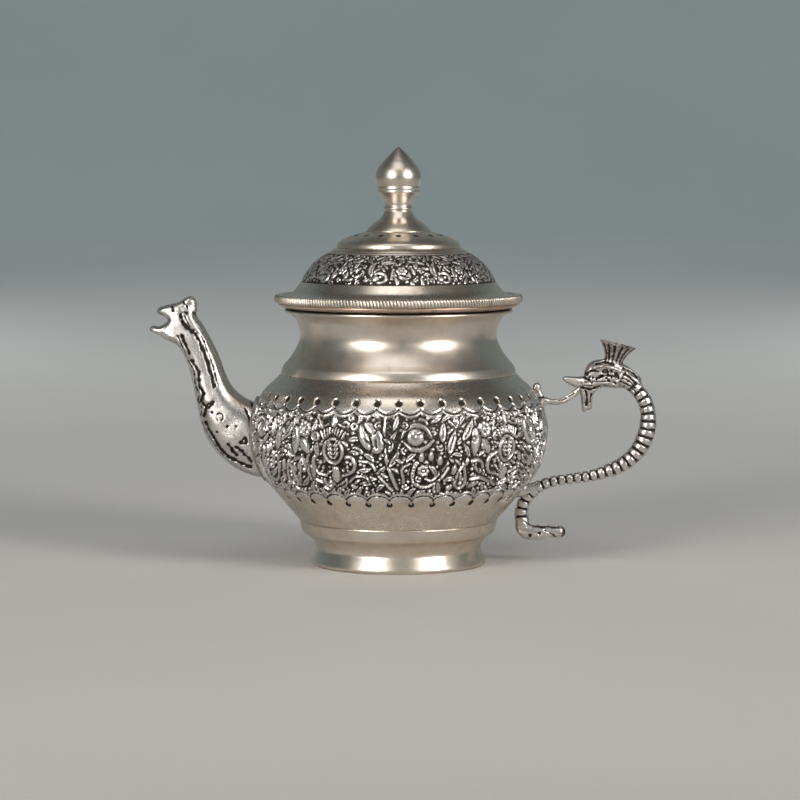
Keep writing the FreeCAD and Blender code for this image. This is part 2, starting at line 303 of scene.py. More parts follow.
def leaf(c, x, y, heading, length, width, turn=0.0, veined=True):
    """A pointed leaf, with a sunk midrib if it is wide enough."""
    xs, ys, t = bend(x, y, heading, length, turn)
    c.stroke(xs, ys, width / 2 * np.sin(np.pi * t ** 0.8) ** 0.8)
    if veined and width > 1.9:
        inner = (t > 0.15) & (t < 0.75)
        c.vein(xs[inner], ys[inner], 0.2 + 0.14 * width)


def scroll(c, x, y, heading, length, turn, width, bulb):
    """A tendril that curls up into a bulb."""
    xs, ys, t = bend(x, y, heading, length, turn, 1.5)
    c.stroke(xs, ys, width / 2 * (1 - 0.35 * t))
    c.clear(xs[-1], ys[-1], bulb + 0.3)
    c.boss(xs[-1], ys[-1], bulb)


def stem(c, points, width, edge=0.7):
    """A plain ridge through a few points."""
    line = smooth_line(points, 0.25)
    taper = 1 - 0.35 * np.linspace(0, 1, len(line))
    c.stroke(line[:, 0], line[:, 1], width / 2 * taper, edge=edge)


def loop(x, y, half_width, half_height, start=0, end=360):
    """Points along part of an oval."""
    count = int(abs(end - start) * max(half_width, half_height) / 14) + 3
    angle = np.radians(np.linspace(start, end, count))
    return x + half_width * np.cos(angle), y + half_height * np.sin(angle)


def ring(c, x, y, radius, width, seed=0.0):
    """A round ridge with a sunk middle, and a seed in it."""
    c.clear(x, y, radius + width / 2 + 0.5)
    xs, ys = loop(x, y, radius, radius)
    c.stroke(xs, ys, np.full(len(xs), width / 2), edge=0.2)
    if seed:
        c.boss(x, y, seed)


def flower(c, x, y, radius, petals):
    """A round flower: a centre boss in a ring of petals."""
    c.clear(x, y, radius + 0.5)
    for k in range(petals):
        angle = 2 * np.pi * k / petals
        c.boss(x + radius * 0.66 * np.cos(angle), y + radius * 0.66 * np.sin(angle), radius * 0.34)
    c.boss(x, y, radius * 0.28)


def outlined(c, points, width, floor):
    """A closed ridge round a lower floor."""
    points = [np.array(p, float) for p in points]
    middle = np.mean(points, axis=0)
    line = smooth_line(points + points[:1], 0.25)
    c.stroke(line[:, 0], line[:, 1], np.full(len(line), width / 2))
    for share in np.arange(0.15, 0.95, 0.12):
        for x, y in middle + (line[::2] - middle) * share:
            c.boss(x, y, 0.6, floor)


def stems(c, x, y, routes, edge=0.7):
    """Several stems, each a width and the points that it runs through, counted from (x, y)."""
    for width, *points in routes:
        stem(c, [(x + dx, y + dy) for dx, dy in points], width, edge)


PALMETTE_BRANCHES = [
    (1.9, (-19.0, -14.0), (-13.5, -13.6), (-8.0, -15.8), (-1.5, -18.2)),
    (1.9, (12.5, -18.0), (9.0, -17.6), (5.2, -14.8), (-0.5, -18.0)),
    (1.3, (6.8, -15.0), (10.4, -11.8), (15.4, -12.4), (16.6, -14.6)),
]
PALMETTE_VOLUTES = [
    (2.0, (-6.6, -1.4), (-10.2, -3.4), (-11.0, -7.4), (-9.0, -10.8), (-4.6, -12.0)),
    (1.9, (5.6, -2.6), (8.8, -2.8), (10.4, -6.2), (8.8, -9.6), (3.8, -11.8)),
]
PALMETTE_DOTS = [(-7.0, -5.6, 1.0), (-5.8, -8.0, 0.8), (6.6, -5.0, 0.9), (6.6, -7.4, 0.8), (-8.2, -7.8, 0.6)]


def palmette(c, x, y):
    """An egg of seeds under a crown, between two volutes, over a pointed leaf on a spreading scroll."""
    stems(c, x, y, PALMETTE_BRANCHES)
    scroll(c, x - 3.0, y - 18.0, 160, 10.5, -200, 1.4, 1.2)
    scroll(c, x + 1.5, y - 18.0, 10, 10.0, 190, 1.3, 1.1)
    for dx, dy, radius in ((0, 0, 8.2), (-6.5, -7.2, 6.0), (6.0, -7.0, 5.8)):
        c.clear(x + dx, y + dy, radius)
    stems(c, x, y, PALMETTE_VOLUTES, 0.9)
    for dx, dy, radius in PALMETTE_DOTS:
        c.boss(x + dx, y + dy, radius)
    leaf(c, x + 0.4, y - 15.2, 92, 9.0, 4.6, veined=False)
    for k in range(-4, 5):
        leaf(c, x + 0.9 * k, y + 6.1 - 0.13 * k * k, 90 - 7 * k, 5.4, 0.9, veined=False)
    c.clear(x, y, 4.6)
    xs, ys = loop(x, y, 4.6, 5.6)
    c.stroke(xs, ys, np.full(len(xs), 0.75), edge=0.7)
    for dy in (3.4, 1.5, -0.4, -2.3):
        for side in (-1, 1):
            xs, ys, _ = bend(x + side * 0.5, y + dy - 1.1, 90 - side * 48, 2.9, side * 30)
            c.stroke(xs, ys, np.full(len(xs), 0.5), edge=0.2)
    for side in (-1, 1):
        stems(c, x, y, [(1.1, (side * 0.4, 15.5), (side * 2.4, 12.6), (side * 5.6, 11.2))], 0.9)
    leaf(c, x, y + 11.2, 90, 5.4, 3.2, veined=False)


def eye_flower(c, x, y):
    """A round boss with a slit, in an open ring of two crescents."""
    c.clear(x, y, 7.4)
    for points in (((-6.4, -0.4), (-4.6, 3.4), (0.0, 5.6), (4.6, 4.2), (7.4, 0.0)),
                   ((-5.2, -2.4), (-2.4, -5.2), (1.6, -5.9), (5.2, -4.4), (8.4, -1.4))):
        line = smooth_line([(x + dx, y + dy) for dx, dy in points], 0.25)
        t = np.linspace(0, 1, len(line))
        c.stroke(line[:, 0], line[:, 1], 0.3 + 0.75 * np.sin(np.pi * t) ** 0.6, edge=0.35)
    c.boss(x, y, 4.0)
    xs, ys, _ = bend(x + 0.2, y + 0.6, 22, 3.4, 12)
    c.vein(xs, ys, 0.45)
    c.groove(x - 1.6, y + 1.8, 0.6, 0.4)


PAISLEY_EDGE = [
    (1.0, 4.6), (-3.8, 4.4), (-5.6, -1.0), (-4.6, -5.8), (0.4, -8.2), (5.6, -6.0), (8.8, -2.6), (11.4, 2.0),
]
SLITS = [(-3.2, 3.4, -28, 3.8), (1.2, 1.8, 52, 3.4), (-3.2, -0.6, -34, 5.2), (2.4, -4.6, 100, 3.4)]
DROP_EDGE = [(0.2, 10.0), (-2.4, 4.0), (-3.0, -0.6), (0, -3.0), (2.6, -0.4), (1.8, 4.6)]


def paisley(c, x, y):
    """A beaded drop round a small flower."""
    c.clear(x, y, 6.0)
    line = smooth_line(PAISLEY_EDGE, 0.3) + (x, y)
    c.stroke(line[:, 0], line[:, 1], np.linspace(1.0, 0.6, len(line)), edge=0.6)
    arc = arc_length(line)
    for at in np.arange(2.0, arc[-1] - 6.0, 1.5):
        c.groove(np.interp(at, arc, line[:, 0]), np.interp(at, arc, line[:, 1]), 0.55, 0.8)
    inner = smooth_line([(x + 0.6, y - 3.4), (x + 3.6, y - 4.4), (x + 7.0, y - 1.2)], 0.3)
    c.stroke(inner[:, 0], inner[:, 1], np.full(len(inner), 0.55), edge=0.4)
    flower(c, x - 0.6, y + 0.6, 3.1, 7)


def heart_leaf(c, x, y):
    """A broad leaf with carved slits."""
    c.clear(x, y, 6.0)
    leaf(c, x + 3.4, y - 6.4, 112, 15.0, 9.2, 6, veined=False)
    leaf(c, x - 0.6, y - 5.6, 122, 12.5, 4.6, -22, veined=False)
    for dx, dy, heading, length in SLITS:
        xs, ys, _ = bend(x + dx, y + dy, heading, length, -15)
        c.vein(xs, ys, 0.6, 1.0)


def long_leaf(c, x, y):
    """A long leaf with lobes down one side."""
    for k in range(3):
        leaf(c, x + 0.4, y + 1.0 + 2.4 * k, 152 - 10 * k, 4.8, 1.9, -30, veined=False)
    leaf(c, x, y, 80, 11.0, 3.8, -10)


def s_leaves(c, x, y):
    """A leaf that rises to the right over one that hangs down, joined at a ring."""
    leaf(c, x - 5.4, y - 0.6, 48, 11.0, 3.8, 22)
    leaf(c, x + 1.2, y + 5.0, -82, 12.6, 5.0, -22, veined=False)
    c.groove(x + 0.4, y, 1.6, 1.1)
    c.boss(x + 0.4, y, 0.75)
    leaf(c, x - 3.4, y - 3.4, -80, 4.6, 2.4, 20)


def drop_leaf(c, x, y):
    """A closed drop that stands on its round end, with a slit."""
    outlined(c, [(x + dx, y + dy) for dx, dy in DROP_EDGE], 1.2, 0.3)
    xs, ys, _ = bend(x + 0.1, y + 6.6, -92, 5.6, 0)
    c.vein(xs, ys, 0.8, 1.0)
    c.boss(x, y - 0.2, 1.0)


# One repeat of the belly's ornament, each place as (distance from a palmette, height over the table).
# Stems: the width and the points that it runs through
UNIT_STEMS = [
    (2.0, (31.4, 40.0), (28.8, 45.5), (26.0, 53.5), (24.2, 64.0), (24.8, 76.5)),
    (1.7, (30.8, 40.0), (26.7, 42.8), (21.4, 48.9), (18.0, 54.6), (12.6, 55.6)),
    (1.6, (32.0, 40.0), (33.2, 46.0), (32.4, 52.0), (36.0, 54.6)),
    (1.4, (58.0, 60.0), (55.2, 57.0), (53.0, 52.4), (49.6, 46.6), (48.0, 42.0)),
    (1.4, (79.6, 77.0), (77.4, 70.0), (78.2, 62.0), (74.2, 56.0), (73.6, 47.0), (76.0, 41.0)),
]
# Leaves: the place, heading, length, width, turn and whether they have a midrib
UNIT_LEAVES = [
    (26.4, 53.0, 52, 9.0, 2.6, 12), (30.6, 61.5, 50, 5.0, 2.0, 10), (35.0, 49.5, 40, 5.5, 2.2, 60),
    (28.4, 70.0, 60, 6.8, 2.4, 30), (27.4, 64.0, 80, 5.4, 2.0, -30), (24.2, 58.0, 150, 6.5, 2.4, -50),
    (13.0, 46.0, 30, 7.4, 3.2, -40), (17.6, 44.6, 160, 6.4, 2.4, 50), (7.8, 64.8, 25, 6.0, 2.6, -30),
    (9.6, 61.6, -10, 6.0, 2.4, -40), (12.4, 58.6, 150, 5.0, 2.2, 40), (48.6, 68.6, 190, 5.4, 2.6, -20),
    (44.6, 72.4, 160, 5.0, 2.2, -20), (46.0, 73.5, 10, 6.0, 2.2, 40), (57.6, 70.4, 70, 6.4, 2.6, 40),
    (58.4, 63.0, 60, 6.0, 2.2, -30), (57.0, 49.0, 80, 5.0, 2.6, 0, False),
    (55.0, 41.8, 45, 3.4, 2.8, 0, False), (65.4, 43.2, 85, 7.0, 2.2, -30), (66.6, 42.6, 25, 8.0, 2.6, 30),
    (60.6, 57.6, 150, 4.6, 2.0, 40),
    (75.6, 47.0, 60, 6.0, 2.4, 60), (80.6, 57.4, 120, 7.0, 2.6, -60), (83.0, 70.0, 150, 7.0, 2.4, -60),
]
# Buds: the place and the radius
UNIT_BUDS = [(6.2, 72.0, 1.9), (10.4, 71.4, 1.9), (8.4, 75.0, 1.4), (62.4, 71.0, 1.3), (74.6, 74.0, 1.5)]
# Tendrils: the place, heading, length, turn, width and bulb
UNIT_TENDRILS = [
    (66.0, 54.8, 20, 10.5, -170, 1.9, 1.3), (69.6, 67.4, 80, 11.5, -330, 1.5, 1.4),
    (40.6, 74.8, 0, 7.6, -200, 1.3, 1.0), (70.4, 75.2, 190, 8.0, 230, 1.3, 1.0),
]
LOBES = [(41.2, 57.0), (45.7, 57.4), (50.0, 55.3)]  # on the back of the paisley


def belly_unit(c, x, up):
    """One repeat of the belly's ornament, from its palmette on; up turns a height into the sheet's y."""
    for width, *points in UNIT_STEMS:
        stem(c, [(x + dx, up(height)) for dx, height in points], width)
    for dx, height, *shape in UNIT_LEAVES:
        leaf(c, x + dx, up(height), *shape)
    for dx, height, radius in UNIT_BUDS:
        ring(c, x + dx, up(height), radius * 0.7, radius * 0.7)
    for dx, height, *shape in UNIT_TENDRILS:
        scroll(c, x + dx, up(height), *shape)
    flower(c, x + 72.6, up(69.4), 3.9, 8)
    leaf(c, x + 70.2, up(64.4), -38, 7.6, 5.0, -30, False)
    leaf(c, x + 76.4, up(65.0), 60, 9.0, 2.6, 30)
    ring(c, x + 79.2, up(66.2), 1.7, 1.2, 0.6)
    heart_leaf(c, x + 18.4, up(66.4))
    long_leaf(c, x + 54.4, up(58.6))
    leaf(c, x + 51.2, up(64.4), 92, 9.0, 3.4, -14)
    s_leaves(c, x + 66.2, up(65.4))
    drop_leaf(c, x + 61.6, up(44.8))
    paisley(c, x + 43.0, up(50.6))
    for dx, height in LOBES:
        leaf(c, x + dx, up(height) - 1.5, 88, 3.8, 2.8, veined=False)
    eye_flower(c, x + 38.5, up(66.7))
    palmette(c, x, up(59.8))


# What fills the ground, and how far round it the ground must be empty
FILLERS = [("leaf", 2.2), ("curl", 1.95), ("leaflet", 1.55), ("dot", 1.15), ("small dot", 0.9)]
DOT_RADII = {"dot": 0.85, "small dot": 0.6}


def fill_ground(c, low, high, tries, small=1.0):
    """Crowds small leaves, curls and dots into ground that is still empty, the larger ones first."""
    for kind, reach in FILLERS:
        for _ in range(tries):
            x, y, heading = rng.uniform(0, c.length), rng.uniform(low, high), rng.uniform(0, 360)
            spot, away = c.window(x, y, reach * small)
            if c.level[spot][away < reach * small].max() > 0.3:
                continue
            turn = rng.choice((-1, 1))
            ahead_x, ahead_y = small * np.cos(np.radians(heading)), small * np.sin(np.radians(heading))
            if kind == "leaf":
                leaf(c, x - 2.4 * ahead_x, y - 2.4 * ahead_y, heading, 5.6 * small, 2.3 * small, turn * 50)
            elif kind == "curl":
                scroll(c, x, y, heading, 5.4 * small, turn * 260, 1.1 * small, 0.8 * small)
            elif kind == "leaflet":
                leaf(c, x - 1.5 * ahead_x, y - 1.5 * ahead_y, heading, 3.6 * small, 1.6 * small,
                     turn * 40, False)
            else:
                c.boss(x, y, DOT_RADII[kind] * small, 0.9)


def border(c, row, count, start, swing, flat, direction):
    """A row of punched dots with plain metal beyond it, whose scalloped edge has a cusp at each dot.

    direction is 1 where the plain metal lies above the ornament and -1 where it lies below.
    """
    rows, columns = c.level.shape
    y = np.arange(rows)[:, None] * c.step_y
    share = (np.arange(columns) / columns * count - start) % 1
    edge = row - direction * (flat + swing * np.sin(np.pi * share) ** 0.7)
    into = direction * (edge[None, :] - y)
    c.level *= np.clip((into - 1.0) / 0.3, 0, 1)
    rim = np.clip(1 - ((into - 1.75) / 0.7) ** 2, 0, 1) ** 0.5
    c.level = np.maximum(c.level, 0.9 * rim)
    c.level = np.where(into < 0.25, np.clip(1 - into / 0.25, 0, 1), c.level)
    for k in range(count):
        x = (k + start) / count * c.length
        xs, ys, _ = bend(x, row, -90 * direction, flat + 0.6, 0)
        c.vein(xs, ys, 0.8, 1.2)
        c.boss(x, row, 2.5, 1.3)
        c.groove(x, row, 2.0, 1.8)


BAND_LOW, BAND_HIGH = 30.5, 85.2
TOP_ROW, TOP_DOTS, TOP_START = 81.6, 41, 0.77
BOTTOM_ROW, BOTTOM_DOTS, BOTTOM_START = 34.2, 37, 0.34
PALMETTES = (-115.2, -44.8, 27.6, 100.2, 172.6)  # where they stand, in degrees from +X
BELLY_COLUMNS, BAND_STEP = 1200, 0.37
RELIEF, SUNK = 1.5, 0.8  # the ornament's height and how far its ground is sunk


def belly_ornament(line):
    """Heights over the belly's profile line."""
    arc = arc_length(line)
    low, high = np.interp((BAND_LOW, BAND_HIGH), line[:, 1], arc)
    band = (arc >= low) & (arc <= high)
    across = 2 * np.pi * 70.0
    c = Canvas(across, high - low, BELLY_COLUMNS, int((high - low) / BAND_STEP) + 1)

    def up(height):
        return np.interp(height, line[:, 1], arc) - low

    for angle in PALMETTES:
        belly_unit(c, angle / 360 % 1 * across, up)
    fill_ground(c, up(39.0), up(77.4), 4500)
    border(c, up(TOP_ROW), TOP_DOTS, TOP_START, 3.0, 1.9, 1)
    border(c, up(BOTTOM_ROW), BOTTOM_DOTS, BOTTOM_START, 3.2, 2.2, -1)
    rows = (arc[band] - low) / c.step_y
    index = np.clip(rows.astype(int), 0, c.level.shape[0] - 2)
    mix = (rows - index)[:, None]
    level = np.ones((len(line), BELLY_COLUMNS))
    level[band] = c.level[index] * (1 - mix) + c.level[index + 1] * mix
    return level


LID_LOW, LID_HIGH = 132.6, 148.6
LID_COLUMNS, LID_STEP, LID_REPEATS = 720, 0.37, 9
LID_BORDER, LID_SUNK = 1.7, 0.55  # the plain rib along both edges, and how far the ground is sunk
LID_LEAVES = [  # the place, heading, length, width and turn
    (1.2, 6.5, 120, 8.5, 2.8, -70), (4.0, 13.0, 40, 7.5, 2.6, -60), (9.5, 4.6, 60, 6.5, 2.6, 50),
    (12.0, 12.6, -30, 7.5, 2.6, 60), (17.0, 4.8, 95, 7.5, 2.8, 40), (20.5, 10.6, 100, 6.5, 2.4, -50),
]


def lid_unit(c, x, length):
    """One repeat of the lid's ornament: a running scroll with leaves on both sides."""
    scroll(c, x, 5.0, 62, 17.0, -330, 1.7, 1.5)
    for dx, *shape in LID_LEAVES:
        leaf(c, x + dx, *shape)
    scroll(c, x + length * 0.62, 15.6, -20, 12.0, 280, 1.4, 1.2)
    flower(c, x + length * 0.5, 9.6, 2.5, 6)


def lid_ornament(line):
    """Heights over the dome's profile line."""
    arc = arc_length(line)
    low, high = np.interp((LID_LOW, LID_HIGH), line[:, 1], arc)
    c = Canvas(2 * np.pi * 40.0, high - low, LID_COLUMNS, int((high - low) / LID_STEP) + 1)
    length = c.length / LID_REPEATS
    for k in range(LID_REPEATS):
        lid_unit(c, (k + 0.3) * length, length)
    fill_ground(c, 2.6, c.height - 2.4, 1000, 0.7)
    rows = len(c.level)
    y = np.arange(rows) * c.step_y
    for edge in (0.0, c.height - LID_BORDER):
        c.level[(y > edge - 0.5) & (y < edge + LID_BORDER + 0.5)] = 0.0
        c.level[(y >= edge) & (y < edge + LID_BORDER)] = 1.0
    level = np.ones((len(line), LID_COLUMNS))
    for i, at in enumerate(arc):
        if low <= at <= high:
            level[i] = c.level[min(int(round((at - low) / c.step_y)), rows - 1)]
    return level


# ---------------------------------------------------------------- cast shapes
def soften(values, passes):
    """Evens out a map by averaging each cell with its neighbours."""
    for _ in range(passes):
        beside = sum(np.roll(values, way, axis) for way in (-1, 1) for axis in (0, 1))
        values = (2 * values + beside) / 6
    return values


class Casting:
    """A mirror-equal solid as distances on a grid: x and z span the middle plane and y runs out from it.

    field is below 0 inside the solid, dark is how dark each place of the middle plane is (its patina, and on
    the spout also painted shade along the outline), and ragged is a random map that makes marks look cut by
    hand.
    """

    def __init__(self, low, high, half_depth, step):
        self.step, self.low = step, low
        self.px, self.pz = np.meshgrid(
            np.arange(low[0], high[0], step), np.arange(low[1], high[1], step), indexing="ij")
        self.y = np.arange(0, half_depth, step)
        self.field = np.full((self.px.shape[0], len(self.y), self.px.shape[1]), 9.0)
        self.dark = np.zeros(self.px.shape)
        self.ragged = self.uneven(1.3)

    def uneven(self, feature):
        """A smooth random map from -1 to 1, with hills about one feature apart."""
        i, k = (self.px - self.low[0]) / feature, (self.pz - self.low[1]) / feature
        hills = rng.uniform(-1, 1, (int(i.max()) + 2, int(k.max()) + 2))
        a, b = i.astype(int), k.astype(int)
        s, t = (3 * f * f - 2 * f ** 3 for f in (i - a, k - b))
        low = hills[a, b] * (1 - s) + hills[a + 1, b] * s
        return low * (1 - t) + (hills[a, b + 1] * (1 - s) + hills[a + 1, b + 1] * s) * t

    def nearest(self, points):
        """How far each place of the middle plane is from a line, and at which of its points."""
        best, where = np.full(self.px.shape, 1e9), np.zeros(self.px.shape)
        for i, ((ax, az), (bx, bz)) in enumerate(zip(points, points[1:])):
            dx, dz = bx - ax, bz - az
            t = np.clip(((self.px - ax) * dx + (self.pz - az) * dz) / (dx * dx + dz * dz + 1e-9), 0, 1)
            away = np.hypot(self.px - ax - t * dx, self.pz - az - t * dz)
            closer = away < best
            best, where = np.where(closer, away, best), np.where(closer, i + t, where)
        return best, where

    def depth_inside(self, outline):
        """How far each place lies inside a closed outline; less than 0 outside."""
        loop_back = np.vstack([outline, outline[:1]])
        away, _ = self.nearest(loop_back)
        within = np.zeros(self.px.shape, bool)
        for (ax, az), (bx, bz) in zip(loop_back, loop_back[1:]):
            if az != bz:
                crosses = (az > self.pz) != (bz > self.pz)
                within ^= crosses & (self.px < (bx - ax) * (self.pz - az) / (bz - az) + ax)
        return np.where(within, away, -away)

    def spread(self, spots):
        """A smooth map through values given at spots (x, z, value)."""
        total, weight = 0.0, 0.0
        for x, z, value in spots:
            near = 1 / (np.hypot(self.px - x, self.pz - z) ** 3 + 0.5)
            total, weight = total + near * value, weight + near
        return soften(total / weight, 200)

    def pillow(self, inside, halves, bevels):
        """A plate with the given outline, half depths and round edges."""
        half, bevel = self.spread(halves)[:, None, :], self.spread(bevels)[:, None, :]
        short = 1 - np.minimum(inside[:, None, :] / bevel, 1)
        y = self.y[None, :, None]
        return (np.sqrt(short ** 2 + (y / half) ** 2) - 1) * np.minimum(bevel, half)

    def rod(self, line):
        """An oval rod along (x, z, width, depth) points."""
        line = smooth_line(line, 1.0)
        away, where = self.nearest(line[:, :2])
        index = np.arange(len(line))
        a, b = (np.interp(where, index, line[:, k] / 2)[:, None, :] for k in (2, 3))
        away = away[:, None, :]
        return (np.sqrt((away / a) ** 2 + (self.y[None, :, None] / b) ** 2) - 1) * np.minimum(a, b)

    def add(self, solid, soft=0.6):
        """Joins a solid on, with a fillet."""
        mix = np.clip(0.5 + 0.5 * (solid - self.field) / soft, 0, 1)
        self.field = solid + (self.field - solid) * mix - soft * mix * (1 - mix)

    def cut(self, solid):
        """Takes a solid away."""
        self.field = np.maximum(self.field, -solid)

    def engrave(self, points, width, depth, darkness=1.0, smooth=True):
        """Cuts a line into both sides; a depth below 0 raises it."""
        points = smooth_line(points, 0.5) if smooth and len(points) > 2 else np.asarray(points, float)
        away, _ = self.nearest(points[:, :2])
        away = np.maximum(away + 0.35 * min(width, 1.4) * self.ragged, 0)
        self.press(np.clip(1 - (away / (width / 2)) ** 2, 0, 1), depth, darkness)
        self.stain_and_shade(0.5 * darkness * np.clip(1.5 - away / width, 0, 1))

    def punch(self, x, z, width, height, depth, darkness=1.0):
        """Presses an oval mark into both sides."""
        away = np.hypot((self.px - x) / (width / 2), (self.pz - z) / (height / 2)) + 0.3 * self.ragged
        self.press(np.clip(1.2 - away ** 2, 0, 1), depth, darkness)

    def press(self, mark, depth, darkness):
        """Sinks both sides where mark, from 0 to 1, says so, and blackens them there."""
        self.field += depth * mark[:, None, :]
        self.stain_and_shade(darkness * mark)

    def stain_and_shade(self, values):
        """Darkens the middle plane's map."""
        self.dark = np.maximum(self.dark, values)

    def outside_belly(self, gap):
        """Cuts away what would lie inside the belly."""
        wall = profile(BELLY, 0.5)
        radius = np.interp(self.pz[0], wall[:, 1], wall[:, 0])
        from_axis = np.hypot(self.px[:, :1], self.y[None, :])
        self.field = np.maximum(self.field, (radius + gap)[None, None, :] - from_axis[:, :, None])

    def object(self, name, material):
        """The solid's skin."""
        both = np.concatenate([self.field[:, :0:-1], self.field], axis=1).astype(np.float32)
        grid = openvdb.FloatGrid(9.0)
        grid.copyFromArray(both)
        points, triangles, quads = grid.convertToPolygons(isovalue=0.0, adaptivity=0.0)
        points = points * self.step + (self.low[0], (1 - len(self.y)) * self.step, self.low[1])
        groups = [group.astype(np.int32) for group in (triangles, quads) if len(group)]
        a, b, c = (points[groups[-1][:, k]] for k in range(3))
        if np.einsum("ij,ij->i", a, np.cross(b, c)).sum() < 0:
            groups = [group[:, ::-1] for group in groups]
        piece = new_object(name, points, groups, material)
        cells = [(points[:, k] - self.low[j]) / self.step for k, j in ((0, 0), (2, 1))]
        i, k = (np.clip(np.rint(cell).astype(int), 0, size - 1)
                for cell, size in zip(cells, self.dark.shape))
        hollow = hollowness(piece, 40)
        set_patina_and_shade(piece, self.dark[i, k] + np.clip(hollow * 4.0, -0.3, 1.0))
        return piece


SPOUT_OUTLINE = [
    (-63.6, 41.3), (-66.8, 40.8), (-71.9, 42.3), (-77.5, 45.1), (-82.6, 48.9), (-87.7, 54.0), (-91.5, 60.3),
    (-94.0, 67.3), (-95.9, 76.2), (-97.8, 85.7), (-99.7, 93.2), (-101.6, 98.3), (-104.8, 103.4),
    (-109.2, 105.9), (-114.3, 109.1), (-117.8, 110.9), (-117.4, 112.2), (-114.5, 112.3), (-111.0, 113.8),
    (-109.5, 115.9), (-112.2, 118.5), (-113.3, 118.6), (-113.9, 119.8), (-112.4, 121.7), (-109.2, 122.7),
    (-103.5, 124.3), (-99.7, 126.8), (-97.2, 126.5), (-95.9, 124.9), (-96.5, 120.4), (-95.3, 117.3),
    (-91.5, 112.2), (-87.7, 105.3), (-84.5, 98.3), (-82.0, 91.3), (-79.5, 85.7), (-76.3, 81.8),
    (-71.9, 78.7), (-68.0, 76.8), (-60.0, 72.0), (-58.0, 48.0),
]
SPOUT_HALF_DEPTHS = [
    (-64, 58, 12.5), (-75, 60, 11.8), (-84, 68, 10.7), (-88, 77, 9.2), (-90, 85, 8.1), (-91.5, 93, 7.3),
    (-94.5, 101, 6.9), (-99, 108, 6.7), (-104, 115, 6.2), (-107, 121, 5.0), (-110.5, 120.5, 4.2),
    (-98, 125, 3.0), (-113.5, 119.8, 2.4), (-108, 108, 5.4), (-112, 109.6, 4.4), (-117, 111.4, 2.4),
]
SPOUT_BEVELS = [
    (-64, 58, 14.0), (-75, 60, 12.0), (-84, 68, 9.5), (-90, 85, 6.8), (-94.5, 101, 6.0), (-104, 116, 4.2),
    (-98, 125, 2.0), (-116.5, 111.3, 1.2), (-112, 120, 1.5), (-111, 109.5, 2.0),
]
SPOUT_JAWS = [  # lower jaw, upper jaw and ear
    [
        (-106.5, 108.2, 6.0, 9.0), (-110.5, 109.4, 4.6, 7.0), (-113.6, 110.6, 3.7, 5.0),
        (-116.0, 111.5, 3.1, 3.8),
    ],
    [(-103.5, 120.4, 6.5, 9.0), (-108.5, 120.4, 5.0, 7.0), (-112.4, 120.1, 3.4, 4.6)],
    [
        (-101.8, 122.6, 4.6, 6.0), (-98.4, 125.0, 3.4, 5.0), (-97.0, 124.0, 3.0, 4.6),
        (-96.9, 120.6, 3.4, 6.0),
    ],
]
SPOUT_CHANNEL = [
    (-58.0, 56.5, 24.0, 16.0), (-74.7, 62.5, 18.0, 13.0), (-82.0, 68.5, 13.0, 11.0),
    (-86.8, 76.5, 10.0, 9.0), (-89.2, 85.2, 8.0, 8.0), (-91.5, 93.4, 7.0, 7.0), (-94.3, 101.1, 6.4, 6.4),
    (-98.1, 107.8, 6.0, 6.0), (-103.5, 113.8, 4.4, 6.0), (-107.6, 115.5, 3.2, 5.4), (-112.0, 116.0, 2.6, 5.0),
]
SPOUT_REAR_GROOVE = [
    (-102.8, 117.9), (-100.4, 113.2), (-95.1, 108.5), (-92.2, 101.5), (-89.9, 95.6), (-88.7, 90.9),
    (-86.9, 85.0),
]
SPOUT_FRONT_GROOVES = [
    [(-102.2, 108.5), (-100.4, 104.4), (-98.7, 100.3)],
    [(-97.5, 96.8), (-95.7, 93.8), (-94.5, 90.9), (-94.0, 85.0), (-91.6, 81.4)],
    [(-91.6, 81.4), (-92.8, 77.9), (-91.0, 75.0), (-91.6, 70.9)],
    [(-91.0, 67.4), (-86.9, 60.3), (-82.2, 53.2), (-76.3, 49.7), (-69.9, 46.8)],
]


SPOUT_TIPS = [(-117.2, 111.6), (-113.8, 119.4), (-98.0, 126.4)]  # tips of the jaws and ear, made darker
SPOUT_PUNCHES = [  # x, z, width and height
    (-88.0, 72.6, 1.3, 1.6), (-80.6, 66.0, 1.3, 1.4), (-78.7, 55.0, 2.4, 3.2), (-91.0, 67.6, 1.6, 1.8),
    (-85.6, 63.4, 1.0, 1.0), (-76.4, 66.0, 1.0, 1.2),
]
SPOUT_TRIANGLES = [
    [(-90.6, 76.0), (-87.4, 77.6), (-89.0, 74.6), (-90.6, 76.0)],
    [(-74.4, 58.6), (-72.2, 61.0), (-71.6, 58.0), (-74.4, 58.6)],
]
SPOUT_LINES = [  # points, width, depth and darkness
    ([(-69.6, 76.2), (-67.8, 73.2), (-67.4, 70.0)], 1.7, 0.5),
    ([(-76.5, 56.2), (-74.0, 54.6), (-71.6, 52.2), (-69.4, 49.4)], 1.9, 0.7),
    ([(-80.2, 57.6), (-78.0, 54.4), (-76.6, 52.6)], 1.8, 0.7),
    ([(-72.4, 74.0), (-70.6, 70.4), (-69.8, 66.0)], 1.3, 0.4, 0.6),
    ([(-106.9, 122.2), (-106.1, 121.3), (-106.4, 120.3)], 1.1, 0.5),
    ([(-101.6, 124.4), (-100.4, 123.0), (-99.4, 121.4)], 1.2, 0.4),
    ([(-103.4, 118.2), (-101.2, 119.6), (-99.6, 119.0)], 1.4, 0.45, 0.7),
]
SPOUT_HEAD_HEIGHT = 114.0  # where the neck becomes the head


